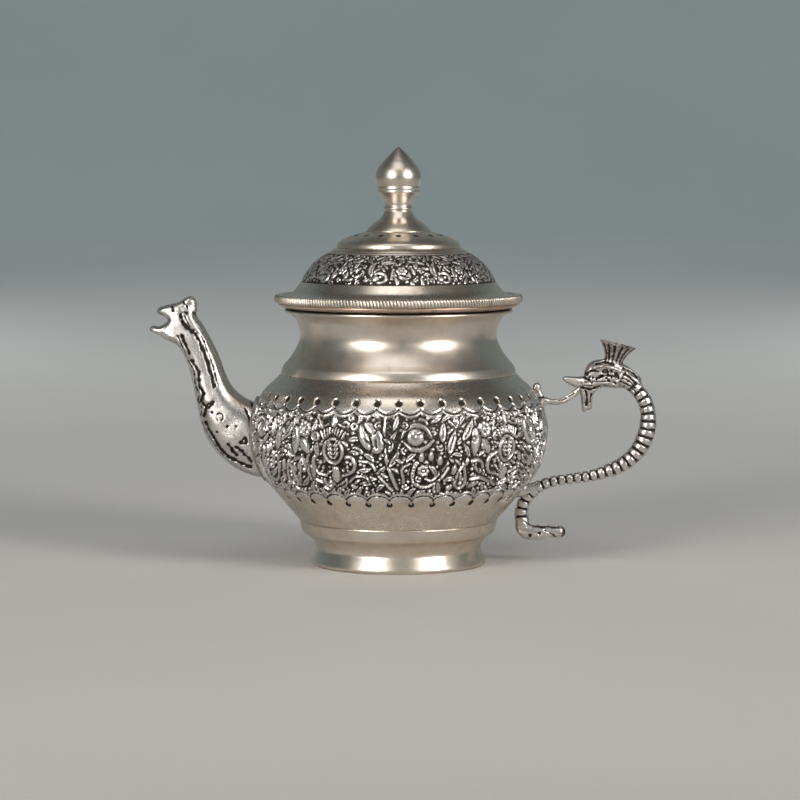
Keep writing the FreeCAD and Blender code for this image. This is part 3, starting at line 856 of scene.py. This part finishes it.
def build_spout():
    """The cast spout: a flat-sided beast's neck with open jaws, engraved on both sides and hollow inside."""
    spout = Casting(low=(-121.0, 37.0), high=(-57.0, 130.0), half_depth=14.0, step=0.32)
    inside = spout.depth_inside(smooth_line(SPOUT_OUTLINE, 1.0))
    core = np.clip((inside - 1.8) / 2.0, 0, 1)
    rounded = inside * (1 - core) + soften(inside, 90) * core
    spout.field = spout.pillow(rounded, SPOUT_HALF_DEPTHS, SPOUT_BEVELS)
    below_head = np.clip((SPOUT_HEAD_HEIGHT - spout.pz) / 4.0, 0, 1)
    # Painted shade: below the head, a band within 2.7 mm of the outline is sunk a little and made darker, as
    # shade where the flat sides round off.
    spout.press(np.clip((2.7 - inside) / 0.6, 0, 1) * below_head, 0.25, 0.3)
    for jaw in SPOUT_JAWS:
        spout.add(spout.rod(jaw), 1.0)
    # Painted shade: the head is made darker within 1.7 mm of its outline, as shade where its sides round off.
    spout.stain_and_shade(0.6 * np.clip((1.7 - inside) / 1.4, 0, 1) * (1 - below_head))
    for x, z in SPOUT_TIPS:
        spout.stain_and_shade(0.8 * np.clip(2.0 - np.hypot(spout.px - x, spout.pz - z), 0, 1))
    for points, beside in [(SPOUT_REAR_GROOVE, 2.0)] + [(points, -1.9) for points in SPOUT_FRONT_GROOVES]:
        spout.engrave(points, 1.8, 0.9)
        spout.engrave([(x + beside, z) for x, z in points], 0.8, 0.35, 0.7)
    for punch in SPOUT_PUNCHES:
        spout.punch(*punch, 0.6)
    for triangle in SPOUT_TRIANGLES:
        spout.engrave(triangle, 1.3, 0.6, smooth=False)
    spout.engrave(np.stack(loop(-84.2, 70.4, 1.5, 1.9, -60, 230), 1), 0.7, 0.25, 0.4)
    for line in SPOUT_LINES:
        spout.engrave(*line)
    spout.cut(spout.rod(SPOUT_CHANNEL))
    spout.outside_belly(-0.8)
    return spout.object("spout_cast", materials["cast"])


HANDLE_BODY = [
    (105.0, 89.5, 9.0, 9.0), (109.5, 86.2, 7.8, 7.8), (113.4, 82.2, 6.9, 6.9), (116.4, 77.9, 7.1, 7.1),
    (118.2, 72.8, 7.3, 7.3), (118.5, 67.3, 7.9, 7.9), (117.6, 61.6, 8.3, 8.3), (115.0, 55.5, 8.0, 8.0),
    (110.8, 50.2, 7.5, 7.5), (105.0, 46.2, 7.0, 7.0), (98.5, 43.5, 6.2, 6.2), (91.0, 41.4, 5.4, 5.4),
    (81.5, 40.1, 5.0, 5.0), (73.5, 38.8, 5.2, 5.2), (66.8, 36.4, 5.8, 5.8), (62.1, 32.6, 6.2, 6.2),
    (59.5, 28.4, 6.2, 6.2), (58.5, 23.6, 6.6, 6.6), (59.2, 18.6, 7.2, 7.2),
]
HANDLE_TAIL = [
    (58.6, 17.4, 6.0, 6.0), (60.4, 15.3, 7.4, 7.2), (65.7, 14.6, 7.4, 7.4), (71.0, 15.0, 6.2, 6.6),
    (76.6, 14.8, 5.8, 6.0),
]
HEAD_OUTLINE = [
    (87.5, 89.6), (89.2, 93.9), (91.7, 96.2), (96.8, 97.2), (102.4, 97.0), (107.7, 94.3), (111.1, 91.8),
    (115.3, 87.1), (111.1, 82.5), (107.7, 83.7), (102.7, 83.3), (98.0, 83.7), (94.2, 82.5), (92.1, 78.7),
    (91.7, 73.6), (89.6, 72.8), (87.9, 71.7), (86.9, 73.6), (86.6, 77.8), (85.8, 81.2), (85.0, 83.0),
    (82.2, 84.4), (79.2, 86.1), (77.6, 87.7), (78.3, 89.0), (82.4, 88.9), (85.8, 88.8),
]
HEAD_HALF_DEPTHS = [
    (97, 90.5, 5.6), (91, 90, 4.8), (105, 89, 4.6), (111, 87, 3.6), (84, 87, 2.6), (78.8, 87.7, 1.7),
    (88, 73, 1.1), (89.5, 78.5, 2.9), (92, 83, 3.8),
]
HEAD_BEVELS = [(97, 90, 4.6), (105, 89, 4.4), (84, 87, 1.6), (78.5, 88, 1.0), (89, 78, 2.4), (88, 73, 1.0)]
HEAD_GROOVES = [
    ([(89.0, 90.4), (91.6, 91.8), (94.4, 91.6)], 1.3), ([(90.4, 87.4), (88.0, 88.4), (87.0, 90.6)], 1.2),
    ([(93.4, 95.2), (97.4, 95.8), (101.6, 95.2)], 1.2), ([(100.6, 91.8), (102.6, 90.4), (104.2, 88.2)], 1.5),
    ([(94.6, 88.9), (98.0, 89.8), (101.4, 89.2)], 1.1), ([(106.2, 93.0), (109.6, 91.4), (112.6, 88.8)], 1.2),
    ([(88.4, 82.6), (89.2, 79.4), (89.0, 75.6)], 1.2), ([(91.2, 80.6), (90.8, 77.0)], 0.9),
]
HEAD_RIDGES = [  # points, width and rise
    ([(87.5, 86.0), (91.7, 85.6), (95.9, 86.1), (99.3, 85.8), (103.1, 84.8)], 1.7, 0.7),
    ([(92.0, 93.2), (95.5, 94.4), (100.5, 93.6), (104.0, 92.0)], 1.5, 0.6),
]
NAPE_RIDGES = [
    [(102.7, 85.0), (104.6, 88.6), (106.9, 91.8)],
    [(114.9, 85.4), (111.0, 88.4), (106.9, 91.8)],
]
MOUTH_LINE = [(84.5, 83.9), (86.5, 83.8), (91.0, 83.2), (95.0, 84.0)]
EYE = (97.6, 91.6)
CROWN_BASE, CROWN_LEAN, CROWN_HEIGHT, CROWN_FLUTES = (101.6, 95.0), 0.24, 9.4, 14
CROWN_HEIGHTS, CROWN_RADII = (0, 2.0, 4.0, 6.0, 8.0, CROWN_HEIGHT), (4.9, 4.4, 4.8, 5.8, 7.3, 8.6)
RING_PITCH, FIRST_RING, RING_GAP = 3.8, 6.0, 1.75
TAIL_GROOVES = [  # points, width and depth
    ([(59.6, 20.2), (61.8, 18.8), (66.0, 17.6), (71.0, 17.4), (76.0, 17.0)], 1.3, 0.7),
    ([(69.6, 15.6), (72.4, 14.2), (74.4, 12.6)], 1.3, 0.6),
]


def ring_grooves(v):
    """Wedges across both sides of the serpent's body, which leave a smooth rim along its two edges."""
    line = smooth_line(HANDLE_BODY, 1.0)
    away, where = v.nearest(line[:, :2])
    index = np.arange(len(line))
    along, half = np.interp(where, index, arc_length(line)), np.interp(where, index, line[:, 2] / 2)
    from_groove = np.abs((along - FIRST_RING) / RING_PITCH % 1 - 0.5) * RING_PITCH
    reach = RING_GAP / 2 * (0.85 + 0.25 * v.ragged + 0.3 * away / half)
    mark = np.clip(1 - (from_groove / reach) ** 2, 0, 1)
    mark *= np.clip((0.97 - away / half) / 0.16, 0, 1) * (along > FIRST_RING - RING_PITCH / 2)
    mark *= along < arc_length(line)[-1] - 2.5
    return mark * (away < half)


def crown_field(v):
    """A flared, fluted cup on the serpent's head."""
    x, y, z = v.px[:, None, :] - CROWN_BASE[0], v.y[None, :, None], v.pz[:, None, :] - CROWN_BASE[1]
    cos, sin = math.cos(CROWN_LEAN), math.sin(CROWN_LEAN)
    up, across = z * cos + x * sin, x * cos - z * sin
    away, turn = np.hypot(across, y), np.arctan2(y, across)
    radius = np.interp(up, CROWN_HEIGHTS, CROWN_RADII)
    flute = 0.8 * np.abs(np.sin(turn * CROWN_FLUTES / 2)) * np.clip(up / 3, 0, 1)
    cup = np.maximum(away - radius - flute + 0.5, np.maximum(-up - 1.0, up - CROWN_HEIGHT - 0.5 * flute))
    well = np.maximum(away - radius + 1.7, CROWN_HEIGHT - 4.2 - up)
    return np.maximum(cup, -well)


def add_head(handle):
    """The serpent's head, with a ringed eye, brows, a speckled cheek and a grooved nape."""
    inside = handle.depth_inside(smooth_line(HEAD_OUTLINE, 0.8))
    head = handle.pillow(inside, HEAD_HALF_DEPTHS, HEAD_BEVELS)
    handle.dark[inside > 0] = 0.28
    handle.add(head, 1.0)
    handle.engrave(MOUTH_LINE, 1.3, 0.8)
    for points, width in HEAD_GROOVES:
        handle.engrave(points, width, 0.7)
    for points, width, rise in HEAD_RIDGES:
        handle.engrave(points, width, -rise, 0)
    handle.punch(*EYE, 4.0, 2.8, 0.8)
    handle.punch(*EYE, 1.9, 1.5, -0.8, 0)
    for x in np.arange(90.4, 103.0, 1.5):
        handle.punch(x + rng.uniform(-0.5, 0.5), rng.uniform(87.2, 89.4), *rng.uniform(1.0, 2.1, 2), 0.6)
    for points in NAPE_RIDGES:
        handle.engrave(points, 1.5, -0.7, 0)
    for back in (1.3, 3.1, 4.9):
        points = [(106.6 - 0.3 * back, 91.6 - back), (109.4, 89.6 - back), (112.2, 86.6 - back)]
        handle.engrave(points, 0.9, 0.5)


def add_crown(handle):
    """The flared cup on the head, darker towards its teeth."""
    handle.add(crown_field(handle), 0.5)
    above = (handle.pz - CROWN_BASE[1]) + CROWN_LEAN * (handle.px - CROWN_BASE[0])
    handle.stain_and_shade((0.7 + 0.2 * handle.ragged) * np.clip((above - 0.6) / 1.5, 0, 1))


def build_handle():
    """The cast serpent: ringed body, head with a crown, and a tail that curls out under the belly."""
    handle = Casting(low=(53.5, 9.0), high=(124.0, 109.0), half_depth=10.5, step=0.3)
    handle.field = handle.rod(HANDLE_BODY)
    handle.press(ring_grooves(handle), 0.85, 1.0)
    handle.add(handle.rod(HANDLE_TAIL), 0.8)
    add_head(handle)
    add_crown(handle)
    for points, width, depth in TAIL_GROOVES:
        handle.engrave(points, width, depth)
    for x, z in ((62.6, 13.4), (67.0, 14.4)):
        handle.punch(x, z, 2.0, 1.8, 0.6)
    handle.stain_and_shade(np.clip((handle.px - 76.6) / 1.4, 0, 1) * (handle.pz < 19))
    return handle.object("serpent_handle", materials["cast"])


TONGUE = [
    (88.5, 84.8, 3.0, 3.2), (87.5, 84.2, 3.0, 3.2), (84.2, 81.4, 3.0, 3.2), (80.4, 78.5, 3.0, 3.2),
    (75.5, 76.8, 2.8, 3.0), (71.1, 77.1, 2.8, 3.0), (66.6, 79.3, 2.6, 3.0), (64.8, 80.4, 2.0, 2.6),
]
TONGUE_ARM = [(68.8, 77.6, 3.4, 3.2), (66.9, 80.6, 2.8, 2.8), (65.7, 83.6, 2.2, 2.4)]
TONGUE_FOOT = [(70.2, 77.4, 2.8, 3.0), (68.0, 75.6, 3.0, 3.2), (65.0, 73.6, 3.0, 3.2)]


def build_tongue():
    tongue = Casting((61.0, 71.0), (91.0, 88.0), 4.0, 0.22)
    tongue.field = tongue.rod(TONGUE)
    tongue.add(tongue.rod(TONGUE_ARM))
    tongue.add(tongue.rod(TONGUE_FOOT))
    tongue.add(tongue.rod([(65.6, 83.6, 3.9, 3.8), (65.6, 84.0, 3.9, 3.8)]), 0.3)
    tongue.engrave([(69.8, 79.8), (67.8, 79.0), (66.6, 78.4)], 1.4, 0.6)
    tongue.engrave([(83.0, 81.0), (79.0, 78.4), (75.0, 77.4)], 1.0, 0.3, 0.7)
    tongue.outside_belly(-0.3)
    return tongue.object("forked_tongue", materials["cast"])


# ---------------------------------------------------------------- materials
class Nodes:
    """A short way to write a material's node tree."""

    def __init__(self, name):
        self.material = bpy.data.materials.new(name)
        self.material.use_nodes = True
        self.tree = self.material.node_tree
        self.tree.nodes.clear()
        self.place = self.add("ShaderNodeTexCoord").outputs["Object"]

    def add(self, kind, settings=None, **inputs):
        node = self.tree.nodes.new(kind)
        for key, value in (settings or {}).items():
            setattr(node, key, value)
        for key, value in inputs.items():
            self.put(node.inputs[key.replace("_", " ")], value)
        return node

    def put(self, socket, value):
        if isinstance(value, bpy.types.NodeSocket):
            self.tree.links.new(value, socket)
        else:
            socket.default_value = value

    def math(self, operation, a, b=0.0, clamp=False):
        node = self.add("ShaderNodeMath", {"operation": operation, "use_clamp": clamp})
        self.put(node.inputs[0], a)
        self.put(node.inputs[1], b)
        return node.outputs[0]

    def noise(self, scale, detail, roughness=0.55, place=None):
        node = self.add("ShaderNodeTexNoise", Scale=scale, Detail=detail, Roughness=roughness,
                        Vector=self.place if place is None else place)
        return node.outputs["Fac"]

    def span(self, value, low, high, to_low=0.0, to_high=1.0):
        node = self.add("ShaderNodeMapRange", Value=value, From_Min=low, From_Max=high,
                        To_Min=to_low, To_Max=to_high)
        return node.outputs["Result"]

    def blend(self, factor, a, b):
        node = self.add("ShaderNodeMix", {"data_type": "RGBA"})
        self.put(node.inputs["Factor"], factor)
        self.put(node.inputs["A"], a)
        self.put(node.inputs["B"], b)
        return node.outputs["Result"]

    def within(self, band):
        """1 between two heights and 0 beyond them."""
        height = self.add("ShaderNodeSeparateXYZ", Vector=self.place).outputs["Z"]
        above = self.span(height, band[0] - 0.0006, band[0] + 0.0006)
        return self.math("MULTIPLY", above, self.span(height, band[1] + 0.0006, band[1] - 0.0006))

    def turned_place(self):
        """Radius and height of each spot, with only a trace of the angle, as a lathe leaves its marks."""
        x, y, z = self.add("ShaderNodeSeparateXYZ", Vector=self.place).outputs
        squares = self.math("ADD", self.math("MULTIPLY", x, x), self.math("MULTIPLY", y, y))
        radius = self.math("SQRT", squares)
        slow = self.math("MULTIPLY", self.math("ADD", x, y), 0.01)
        return self.add("ShaderNodeCombineXYZ", X=radius, Y=slow, Z=z).outputs[0]


SPUN_TONES = ((0.72, 0.66, 0.59), (0.69, 0.60, 0.50), (0.40, 0.33, 0.255))
WORKED_TONES = ((0.78, 0.75, 0.72), (0.74, 0.69, 0.66), (0.42, 0.38, 0.35))


DARK_TONES = (0.005, 0.004, 0.004, 1), (0.030, 0.023, 0.018, 1)  # the two tones of the patina and of the painted shade


def darkening(n, blotch, fine, base_dark, fleck):
    """How black each spot is: the stored patina with its painted shade, blotches and flecks, worn through by
    a fine grain.
    """
    dark = n.add("ShaderNodeAttribute", {"attribute_name": "patina_and_shade"}).outputs["Fac"]
    dark = n.math("ADD", dark, n.span(blotch, 0.55, 0.85, 0.0, 0.35))
    dark = n.math("ADD", dark, base_dark)
    dark = n.math("SUBTRACT", n.math("MULTIPLY", dark, 1.5), n.span(fine, 0.3, 0.7, 0.0, 0.35))
    return n.math("ADD", dark, fleck, clamp=True)


def fine_relief(n, blotch, fine, grain, lathe):
    """The finest marks: grain, shallow dents and, on turned pieces, the lathe's lines."""
    height = n.math("MULTIPLY", fine, grain)
    height = n.math("ADD", height, n.math("MULTIPLY", blotch, grain * 2.0))
    if lathe:
        turned = n.turned_place()
        broad_lines = n.math("MULTIPLY", n.noise(420, 2, 0.5, turned), 2.2)
        lines = n.math("ADD", n.noise(2600, 3, 0.6, turned), broad_lines)
        height = n.math("ADD", height, n.math("MULTIPLY", lines, lathe))
    return n.add("ShaderNodeBump", Strength=0.5, Distance=0.0003, Height=height).outputs["Normal"]


def aged_metal(name, tones, roughness, lathe=0.0, grain=0.12, base_dark=0.0, flecks=(0.0, 0.0), band=None):
    """Worn nickel silver: polished where it is handled, brown-black where the stored patina (with any painted
    shade) or noise says.

    tones are the clean, the warm and the tarnished colour. flecks says how strongly specks darken the bright
    metal and brighten the dark ground. Outside a band of heights the piece is plain spun metal.
    """
    n = Nodes(name)
    broad, blotch, fine = n.noise(38, 3), n.noise(160, 5), n.noise(1500, 6, 0.65)
    fleck = n.span(n.noise(950, 3, 0.6), 0.36, 0.66, flecks[0], -flecks[1])
    clean, warm, tarnish = ((*tone, 1) for tone in tones)
    if band:
        worked = n.within(band)
        fleck = n.math("MULTIPLY", fleck, worked)
        clean, warm, tarnish = (n.blend(worked, (*plain, 1), tone)
                                for plain, tone in zip(SPUN_TONES, (clean, warm, tarnish)))
    dark = darkening(n, blotch, fine, base_dark, fleck)
    film = n.math("MULTIPLY", n.span(blotch, 0.35, 0.7), n.span(broad, 0.35, 0.65, 0.25, 1.0), clamp=True)
    colour = n.blend(n.span(broad, 0.35, 0.65), clean, warm)
    colour = n.blend(n.math("MULTIPLY", film, 0.38), colour, tarnish)
    colour = n.blend(dark, colour, n.blend(blotch, *DARK_TONES))
    film_rough = n.span(film, 0.0, 1.0, roughness, roughness + 0.09)
    rough = n.math("ADD", n.span(fine, 0.3, 0.7, -0.03, 0.05), film_rough)
    rough = n.math("ADD", rough, n.math("MULTIPLY", dark, 0.25))
    shader = n.add("ShaderNodeBsdfPrincipled", Base_Color=colour, Roughness=rough,
                   Normal=fine_relief(n, blotch, fine, grain, lathe),
                   Metallic=n.span(dark, 0.3, 0.9, 1.0, 0.1), Specular_IOR_Level=0.25)
    n.add("ShaderNodeOutputMaterial", Surface=shader.outputs["BSDF"])
    return n.material


BELLY_BAND, LID_BAND = (0.0365, 0.0795), (0.1344, 0.1472)  # the chased heights, in metres
COPPER_TONES = ((0.72, 0.55, 0.44), (0.66, 0.47, 0.36), (0.40, 0.30, 0.24))
SOLDER_TONES = ((0.60, 0.56, 0.50), (0.54, 0.47, 0.38), (0.30, 0.26, 0.22))
TIN_TONES = ((0.62, 0.60, 0.57), (0.56, 0.52, 0.47), (0.40, 0.36, 0.31))
BRASS_TONES = ((0.70, 0.58, 0.36), (0.62, 0.48, 0.26), (0.40, 0.30, 0.18))

materials = {
    "spun": aged_metal("spun_nickel_silver", SPUN_TONES, 0.30, lathe=0.22, grain=0.17),
    "chased": aged_metal("chased_nickel_silver", WORKED_TONES, 0.25, lathe=0.08, grain=0.06,
                         flecks=(0.25, 0.6), band=BELLY_BAND),
    "lid_chased": aged_metal("chased_lid_metal", WORKED_TONES, 0.26, lathe=0.08, grain=0.06,
                             flecks=(0.25, 0.35), band=LID_BAND),
    "cast": aged_metal("cast_nickel_silver", WORKED_TONES, 0.26, grain=0.55, base_dark=0.08,
                       flecks=(0.25, 0.3)),
    "knurled": aged_metal("knurled_nickel_silver", SPUN_TONES, 0.30, grain=0.2),
    "copper": aged_metal("bare_seat_metal", COPPER_TONES, 0.34, lathe=0.2),
    "solder": aged_metal("soldered_joints", SOLDER_TONES, 0.45, grain=0.6, base_dark=0.5),
    "inner": aged_metal("tinned_inside", TIN_TONES, 0.45, grain=0.4, base_dark=0.08),
    "fastener": aged_metal("knob_fastening", BRASS_TONES, 0.35, lathe=0.2),
}


# ---------------------------------------------------------------- the pieces
COLUMNS = 256  # points round a plain turned piece


def turned_shell(name, pieces, thickness):
    """A plain spun sheet."""
    rings = shell_rings(profile(pieces, 0.5), thickness, COLUMNS, 2)
    return rings_object(name, rings, materials["spun"], True)


def turned_ring(name, section, material):
    """A turned ring with a closed section of (radius, height) points."""
    return rings_object(name, [circle(r, z, COLUMNS) for r, z in section], materials[material], True)


def chased_piece(name, rings, level, material, ground_dark, contrast):
    """A chased sheet, as dark as ground_dark in its sunk ground and less by contrast on its tops."""
    piece = rings_object(name, rings, materials[material], True)
    inner = len(piece.data.vertices) - level.size
    set_patina_and_shade(piece, np.concatenate([(ground_dark - contrast * level).ravel(), np.full(inner, 0.25)]))
    return piece


def belly_lift(line, level):
    """How far the ornament moves the belly's outside: sunk ground, and tops that stand a little proud."""
    within = np.clip((line[:, 1] - 38.0) / 2, 0, 1) * np.clip((78.0 - line[:, 1]) / 2, 0, 1)
    return (level - 1) * SUNK + level * (RELIEF - SUNK) * within[:, None]


def build_belly():
    """The belly: a turned sheet, chased with flowers, leaves and scrolls between two rows of dots."""
    fine, plain = profile(BELLY, BAND_STEP), profile(BELLY, 0.9)
    in_band = (fine[:, 1] > BAND_LOW) & (fine[:, 1] < BAND_HIGH)
    line = np.vstack([plain[plain[:, 1] <= BAND_LOW], fine[in_band], plain[plain[:, 1] >= BAND_HIGH]])
    level = belly_ornament(line)
    rings = shell_rings(line, SHEET, BELLY_COLUMNS, 4, belly_lift(line, level))
    return chased_piece("belly_chased", rings, level, "chased", 1.28, 1.72)


def build_dome():
    """The lid's dome, with its chased band."""
    line = profile(DOME, LID_STEP)
    level = lid_ornament(line)
    rings = shell_rings(line, LID_SHEET, LID_COLUMNS, 3, (level - 1) * LID_SUNK)
    return chased_piece("lid_dome_chased", rings, level, "lid_chased", 0.95, 1.3)


LIP_RADIUS, LIP_HEIGHT, LIP_WIRE = 53.2, 120.2, 0.8


def build_lip():
    """The rolled wire round the mouth."""
    turns = np.linspace(0, 2 * np.pi, 16, endpoint=False)
    section = [(LIP_RADIUS + LIP_WIRE * math.cos(a), LIP_HEIGHT + LIP_WIRE * math.sin(a)) for a in turns]
    return turned_ring("mouth_wire", section, "spun")


SEAT_SECTION = [
    (43.8, 113.0), (45.0, 113.0), (45.0, 121.3), (52.4, 121.3), (56.6, 123.0), (56.6, 124.1), (43.8, 124.1),
]
SEAT_SHADE_HEIGHT = 122.5  # above it the seat ring shows, and is clean; below it the ring is painted near black as shade in the gap under the lid rim


def build_seat():
    """The ring under the lid that centres it in the mouth."""
    seat = turned_ring("lid_seat_ring", SEAT_SECTION, "copper")
    # Painted shade: below that height the seat is made near black for the shade in the gap between the mouth
    # and the lid rim; above it it keeps a light patina.
    patina_and_gap_shade = [0.1 if z > SEAT_SHADE_HEIGHT else 0.9 for _, z in SEAT_SECTION]
    set_patina_and_shade(seat, np.repeat(patina_and_gap_shade, COLUMNS))
    return seat


RIM_LOW, RIM_HIGH, RIM_INNER, RIM_CORNER, RIM_OUTER = 124.2, 127.9, 54.9, 57.6, 58.6
RIM_SECTION = [
    (RIM_INNER, RIM_LOW), (RIM_CORNER, RIM_LOW), (58.3, 124.5), (RIM_OUTER, 125.2), (RIM_OUTER, 126.9),
    (58.3, 127.6), (RIM_CORNER, RIM_HIGH), (RIM_INNER, RIM_HIGH),
]
TICKS, COLUMNS_PER_TICK, TICK_DEPTH = 233, 8, 0.5


def build_rim():
    """The lid's edge wire, with close upright ticks all round."""
    section = np.vstack([smooth_line(RIM_SECTION, 0.3), [(RIM_INNER, z) for z in (127.0, 126.0, 125.0)]])
    columns = TICKS * COLUMNS_PER_TICK
    turn = 2 * np.pi * np.arange(columns) / columns
    rings, dark = [], []
    for radius, height in section:
        share = np.clip((radius - RIM_CORNER) / 0.5, 0, 1) if RIM_LOW < height < RIM_HIGH else 0.0
        wave = 0.5 - 0.5 * np.cos(TICKS * turn + (height - RIM_LOW) * 0.9)
        groove = share * wave ** 1.6
        rings.append(circle(radius - TICK_DEPTH * groove, height, columns))
        dark.append(groove * 0.6)
    piece = rings_object("lid_rim_knurled", rings, materials["knurled"], True)
    set_patina_and_shade(piece, np.concatenate(dark))
    return piece


VENTS, VENT_CIRCLE, VENT_RADIUS = 16, 21.3, 0.95
DRILL_ENDS = (148.0, 162.0)  # heights below and above the cap


def build_drill(angle):
    """A closed rod through the cap where one steam hole goes."""
    middle = np.array([VENT_CIRCLE * math.cos(angle), VENT_CIRCLE * math.sin(angle), 0])
    low, high = (circle(VENT_RADIUS, z, 20) + middle for z in DRILL_ENDS)
    low_tip, high_tip = (np.array([middle + (0, 0, z)]) for z in DRILL_ENDS)
    return rings_object("drill", [low_tip, low, high, high_tip], materials["spun"], False)


def build_cap():
    """The lid's top tier, pierced by a ring of steam holes that are dark round their edges."""
    cap = turned_shell("lid_cap_spun", CAP, LID_SHEET)
    drills = [build_drill(angle) for angle in 2 * np.pi * np.arange(VENTS) / VENTS]
    bpy.context.view_layer.update()
    for drill in drills:
        hole = cap.modifiers.new("hole", "BOOLEAN")
        hole.object, hole.operation, hole.solver = drill, "DIFFERENCE", "EXACT"
    shape = bpy.data.meshes.new_from_object(cap.evaluated_get(bpy.context.evaluated_depsgraph_get()))
    cap.modifiers.clear()
    cap.data = shape
    for drill in drills:
        bpy.data.objects.remove(drill)
    points = np.array([vertex.co for vertex in shape.vertices]) / MM
    turn = np.arctan2(points[:, 1], points[:, 0]) * VENTS / (2 * np.pi)
    beside = (turn - np.rint(turn)) * 2 * np.pi / VENTS * VENT_CIRCLE
    away = np.hypot(np.hypot(points[:, 0], points[:, 1]) - VENT_CIRCLE, beside)
    set_patina_and_shade(cap, np.clip((VENT_RADIUS + 0.6 - away) / 0.4, 0, 1))
    return cap


STUD_RADIUS, STUD_TOP = 2.5, 172.0


def build_finial():
    """The acorn knob, bored for its stud."""
    line = profile(FINIAL, 0.4, 2)
    bore = [circle(STUD_RADIUS, z, 192) for z in (STUD_TOP, 165.0, 157.5)]
    outside = [circle(r, z, 192) for r, z in line[:-1]]
    ends = [np.array([[0.0, 0.0, z]]) for z in (STUD_TOP, line[-1][1])]
    return rings_object("finial_turned", [ends[0], *bore, *outside, ends[1]], materials["spun"], False)


finish_piece(turned_shell("foot_spun", FOOT, SHEET), "pot", "spun_metal", "foot")
finish_piece(build_belly(), "pot", "chased_metal", "belly_shell")
finish_piece(turned_shell("neck_spun", NECK, SHEET), "pot", "spun_metal", "neck_shell")
finish_piece(build_lip(), "pot", "spun_metal", "mouth_ring")
finish_piece(build_spout(), "pot", "cast_metal", "spout")
finish_piece(build_handle(), "pot", "cast_metal", "handle")
finish_piece(build_tongue(), "pot", "cast_metal", "handle_tongue")
finish_piece(build_seat(), "lid_seat", "spun_metal", "lid_skirt")
finish_piece(build_dome(), "lid", "chased_metal", "lid_dome")
finish_piece(build_rim(), "lid", "knurled_metal", "lid_rim_wire")
finish_piece(build_cap(), "lid", "spun_metal", "lid_cap")
finish_piece(build_finial(), "lid", "spun_metal", "finial")
for node, finish in (("base_plate", "spun"), ("belly_floor", "inner"), ("strainer", "inner"),
                     ("spout_collar", "solder"), ("handle_lower_pad", "cast"), ("finial_stud", "fastener"),
                     ("finial_washer", "fastener"), ("finial_nut", "fastener")):
    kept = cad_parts[node]
    kept.data.materials.clear()
    kept.data.materials.append(materials[finish])


# ---------------------------------------------------------------- floor, light and camera
FLOOR_TONES = (0.46, 0.45, 0.43, 1), (0.50, 0.49, 0.47, 1)
WALL_TONES = (0.355, 0.415, 0.425, 1), (0.42, 0.48, 0.485, 1)
WALL_START = 0.12  # the height in metres by which the floor's colour has become the wall's
SWEEP = [(900.0, 0.0), (1500.0, 30.0), (2100.0, 150.0), (2650.0, 480.0), (2950.0, 1100.0), (3000.0, 2600.0)]


def build_studio():
    """A pale floor that sweeps up into a wall all round, far outside every camera."""
    n = Nodes("painted_studio")
    floor, wall = n.blend(n.noise(5, 5), *FLOOR_TONES), n.blend(n.noise(3, 5), *WALL_TONES)
    height = n.add("ShaderNodeSeparateXYZ", Vector=n.place).outputs["Z"]
    colour = n.blend(n.span(height, 0.0, WALL_START), floor, wall)
    shader = n.add("ShaderNodeBsdfPrincipled", Base_Color=colour, Roughness=0.9)
    n.add("ShaderNodeOutputMaterial", Surface=shader.outputs["BSDF"])
    outline = [(300.0, 0.0), (600.0, 0.0), *smooth_line(SWEEP, 120)]
    rings = [np.zeros((1, 3))] + [circle(r, z, 96) for r, z in outline]
    rings_object("studio_floor", rings, n.material, False)


def soft_light(name, place, target, width, height, power, colour=(1, 1, 1), mirrored=True, spread=180):
    """A rectangular soft box; one that isn't mirrored leaves no highlight on the metal."""
    lamp = bpy.data.lights.new(name, "AREA")
    lamp.shape, lamp.size, lamp.size_y = "RECTANGLE", width, height
    lamp.energy, lamp.color, lamp.spread = power, colour, math.radians(spread)
    light = bpy.data.objects.new(name, lamp)
    light.location = place
    light.rotation_euler = (Vector(target) - Vector(place)).to_track_quat("-Z", "Y").to_euler()
    light.visible_glossy, light.visible_camera = mirrored, False
    bpy.context.scene.collection.objects.link(light)


def build_lights():
    """Two front boxes, two behind, one above, and a wash on the wall at each side."""
    front, back = (1.0, 0.96, 0.92), (0.93, 0.97, 1.0)
    middle = (0, 0, 0.1)
    soft_light("left_box", (-0.84, -1.18, 0.62), middle, 0.40, 0.75, 2.9, front, spread=75)
    soft_light("right_box", (1.09, -0.95, 0.62), middle, 0.46, 0.75, 3.2, front, spread=75)
    soft_light("back_left", (-0.8, 1.3, 0.6), middle, 0.4, 0.8, 4, back, mirrored=False)
    soft_light("back_right", (0.8, 1.3, 0.6), middle, 0.4, 0.8, 4, back, mirrored=False)
    soft_light("top_box", (-0.1, -0.7, 1.7), (0, 0, 0), 1.2, 0.8, 5.5, (1.0, 0.99, 0.97))
    washes = ("back", 0, 1, 20), ("front", 0, -1, 9), ("left", -1, 0, 6), ("right", 1, 0, 6)
    for side, x, y, power in washes:
        place, target = (1.1 * x, 1.1 * y, 2.1), (3.0 * x, 3.0 * y, 0.9)
        soft_light("wash_" + side, place, target, 2.0, 1.0, power, mirrored=False)


def build_camera():
    """A long lens, a little above the lid, that looks at the belly's top from the side."""
    lens = bpy.data.cameras.new("camera")
    lens.lens, lens.sensor_width = 123.75, 36.0
    camera = bpy.data.objects.new("camera", lens)
    camera.location = (0.0007, -1.30, 0.189)
    aim = Vector((0.0007, 0, 0.0777)) - camera.location
    camera.rotation_euler = aim.to_track_quat("-Z", "Y").to_euler()
    bpy.context.scene.collection.objects.link(camera)
    bpy.context.scene.camera = camera


def build_world():
    """A faint even light from everywhere."""
    world = bpy.data.worlds.new("studio")
    world.use_nodes = True
    background = world.node_tree.nodes["Background"]
    background.inputs["Color"].default_value = (0.50, 0.52, 0.54, 1)
    background.inputs["Strength"].default_value = 0.15
    bpy.context.scene.world = world


bpy.context.scene.view_settings.view_transform = "Standard"
build_studio()
build_world()
build_camera()
build_lights()
